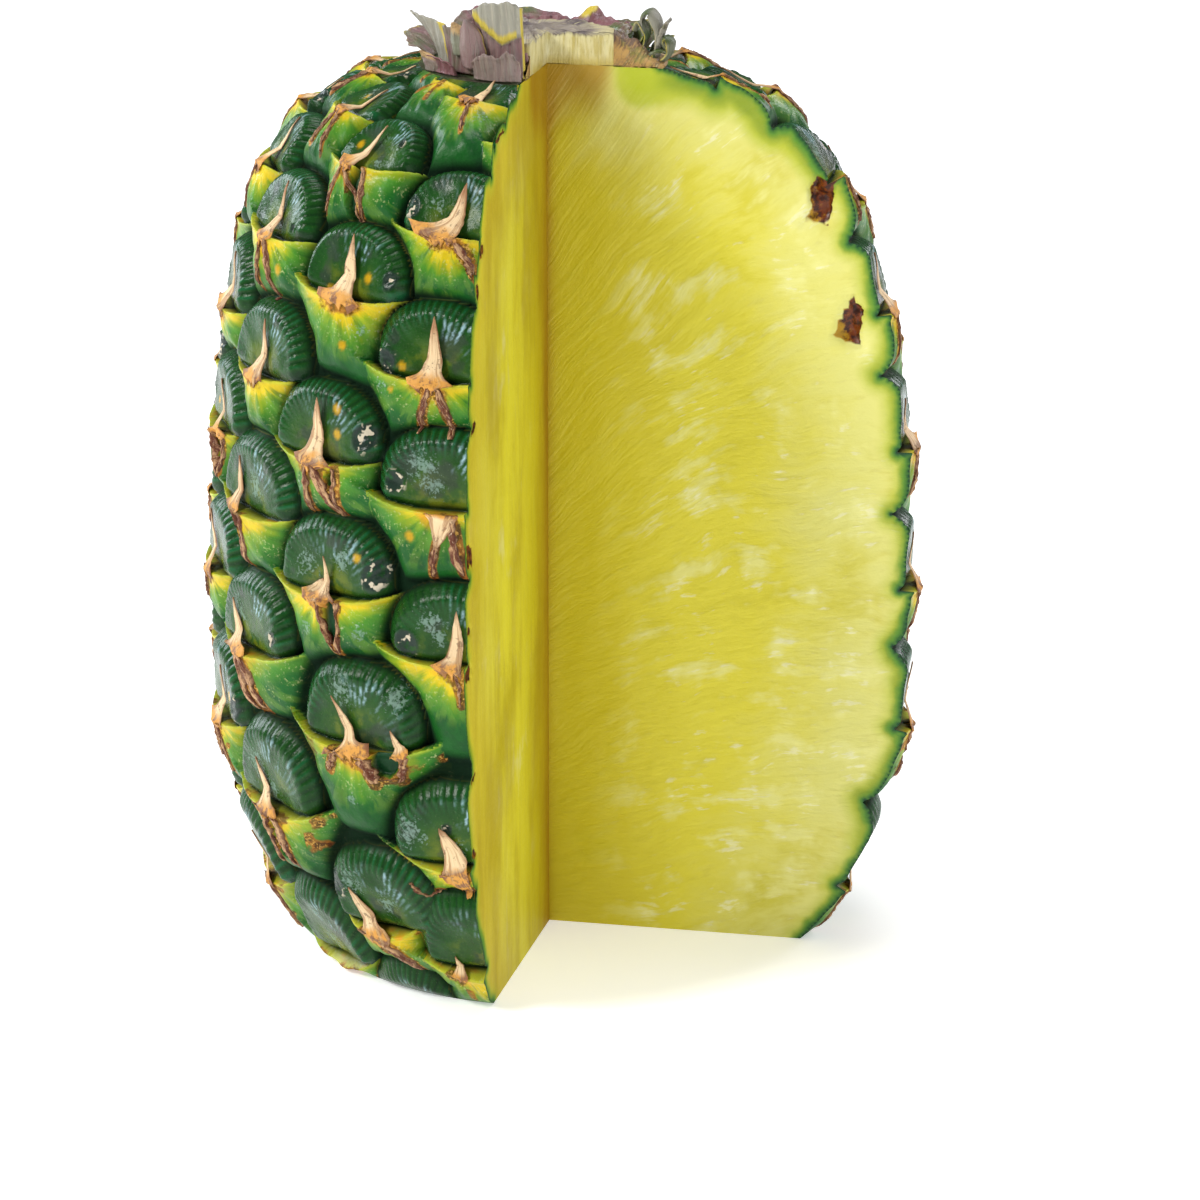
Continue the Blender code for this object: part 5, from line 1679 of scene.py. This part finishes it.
def build_stage(settings):
    """A pale floor, soft lights and the camera at the photograph's viewing angle."""
    scene = bpy.context.scene
    scene.view_settings.view_transform = "Standard"
    mesh = bpy.data.meshes.new("floor")
    corners = [(x * FLOOR_HALF, y * FLOOR_HALF, 0) for x, y in ((-1, -1), (1, -1), (1, 1), (-1, 1))]
    mesh.from_pydata(corners, [], [(0, 1, 2, 3)])
    m = Material("floor")
    colour = m.mix(settings.floor, FLOOR_PALE, m.noise(60.0, 2.0))
    mesh.materials.append(
        m.finish(Base_Color=colour, Roughness=0.75, Emission_Color=(1, 1, 1), Emission_Strength=FLOOR_GLOW))
    floor = bpy.data.objects.new("floor", mesh)
    scene.collection.objects.link(floor)

    world = bpy.data.worlds.new("studio")
    scene.world = world
    world.use_nodes = True
    sky = world.node_tree.nodes["Background"].inputs
    sky["Color"].default_value, sky["Strength"].default_value = SKY, SKY_STRENGTH
    for name, place, energy, size, colour in LIGHTS:
        light = bpy.data.lights.new(name, "AREA")
        light.energy, light.size, light.color = energy, size, colour
        set_up(name, light, place, LIGHT_AIM)

    turn, rise = math.radians(CAMERA_AZIMUTH), math.radians(CAMERA_ELEVATION)
    back = Vector((math.sin(turn) * math.cos(rise), -math.cos(turn) * math.cos(rise), math.sin(rise)))
    right = Vector((math.cos(turn), math.sin(turn), 0.0))
    middle = Vector((0.0, 0.0, MIDDLE_HEIGHT))
    aim = middle + right * AIM_RIGHT - back.cross(right) * AIM_DOWN
    camera = bpy.data.cameras.new("camera")
    camera.sensor_width, camera.lens = SENSOR, LENS
    scene.camera = set_up("camera", camera, middle + back * settings.distance, aim)


# The operators and the panel


class PINEAPPLE_OT_rind(bpy.types.Operator):
    """Build the fluted domes and the bracts of the rind"""

    bl_idname = "pineapple.rind"
    bl_label = "Rind"

    def execute(self, context):
        build_rind(context.scene.pineapple_rind)
        return {"FINISHED"}


class PINEAPPLE_OT_spikes(bpy.types.Operator):
    """Build the dry spikes and strips"""

    bl_idname = "pineapple.spikes"
    bl_label = "Spikes"

    def execute(self, context):
        build_spikes(context.scene.pineapple_rind, context.scene.pineapple_spikes)
        return {"FINISHED"}


class PINEAPPLE_OT_flesh(bpy.types.Operator):
    """Build the two cut faces"""

    bl_idname = "pineapple.flesh"
    bl_label = "Flesh"

    def execute(self, context):
        build_flesh(context.scene.pineapple_rind, context.scene.pineapple_flesh)
        return {"FINISHED"}


class PINEAPPLE_OT_ends(bpy.types.Operator):
    """Build the scar under the fruit and the seat of the crown"""

    bl_idname = "pineapple.ends"
    bl_label = "Ends"

    def execute(self, context):
        build_ends(context.scene.pineapple_rind)
        return {"FINISHED"}


class PINEAPPLE_OT_stem(bpy.types.Operator):
    """Build the stump of the crown's stem and the ring round it"""

    bl_idname = "pineapple.stem"
    bl_label = "Stem"

    def execute(self, context):
        build_stem()
        return {"FINISHED"}


class PINEAPPLE_OT_leaves(bpy.types.Operator):
    """Build the torn leaf bases round the stem"""

    bl_idname = "pineapple.leaves"
    bl_label = "Leaf bases"

    def execute(self, context):
        build_leaves()
        return {"FINISHED"}


class PINEAPPLE_OT_stage(bpy.types.Operator):
    """Set up the floor, the lights and the camera"""

    bl_idname = "pineapple.stage"
    bl_label = "Stage"

    def execute(self, context):
        build_stage(context.scene.pineapple_stage)
        return {"FINISHED"}


OPERATORS = (
    PINEAPPLE_OT_rind, PINEAPPLE_OT_spikes, PINEAPPLE_OT_flesh, PINEAPPLE_OT_ends, PINEAPPLE_OT_stem,
    PINEAPPLE_OT_leaves, PINEAPPLE_OT_stage,
)
SETTINGS = {
    "pineapple_rind": RindSettings, "pineapple_spikes": SpikeSettings, "pineapple_flesh": FleshSettings,
    "pineapple_stage": StageSettings,
}


class PINEAPPLE_PT_sidebar(bpy.types.Panel):
    """The pineapple's pieces, in the order in which they are built"""

    bl_label = "Pineapple"
    bl_idname = "PINEAPPLE_PT_sidebar"
    bl_space_type = "VIEW_3D"
    bl_region_type = "UI"
    bl_category = "Pineapple"

    def draw(self, context):
        for operator in OPERATORS:
            self.layout.operator(operator.bl_idname)
        for name in SETTINGS:
            group = getattr(context.scene, name)
            for key in group.__annotations__:
                self.layout.prop(group, key)


def register():
    for kind in (*SETTINGS.values(), *OPERATORS, PINEAPPLE_PT_sidebar):
        bpy.utils.register_class(kind)
    for name, kind in SETTINGS.items():
        setattr(bpy.types.Scene, name, bpy.props.PointerProperty(type=kind))


def unregister():
    for name in SETTINGS:
        delattr(bpy.types.Scene, name)
    for kind in (PINEAPPLE_PT_sidebar, *reversed(OPERATORS), *reversed(SETTINGS.values())):
        bpy.utils.unregister_class(kind)


def main():
    register()
    bpy.ops.pineapple.rind()
    bpy.ops.pineapple.spikes()
    bpy.ops.pineapple.flesh()
    bpy.ops.pineapple.ends()
    bpy.ops.pineapple.stem()
    bpy.ops.pineapple.leaves()
    bpy.ops.pineapple.stage()


if __name__ == "__main__":
    main()
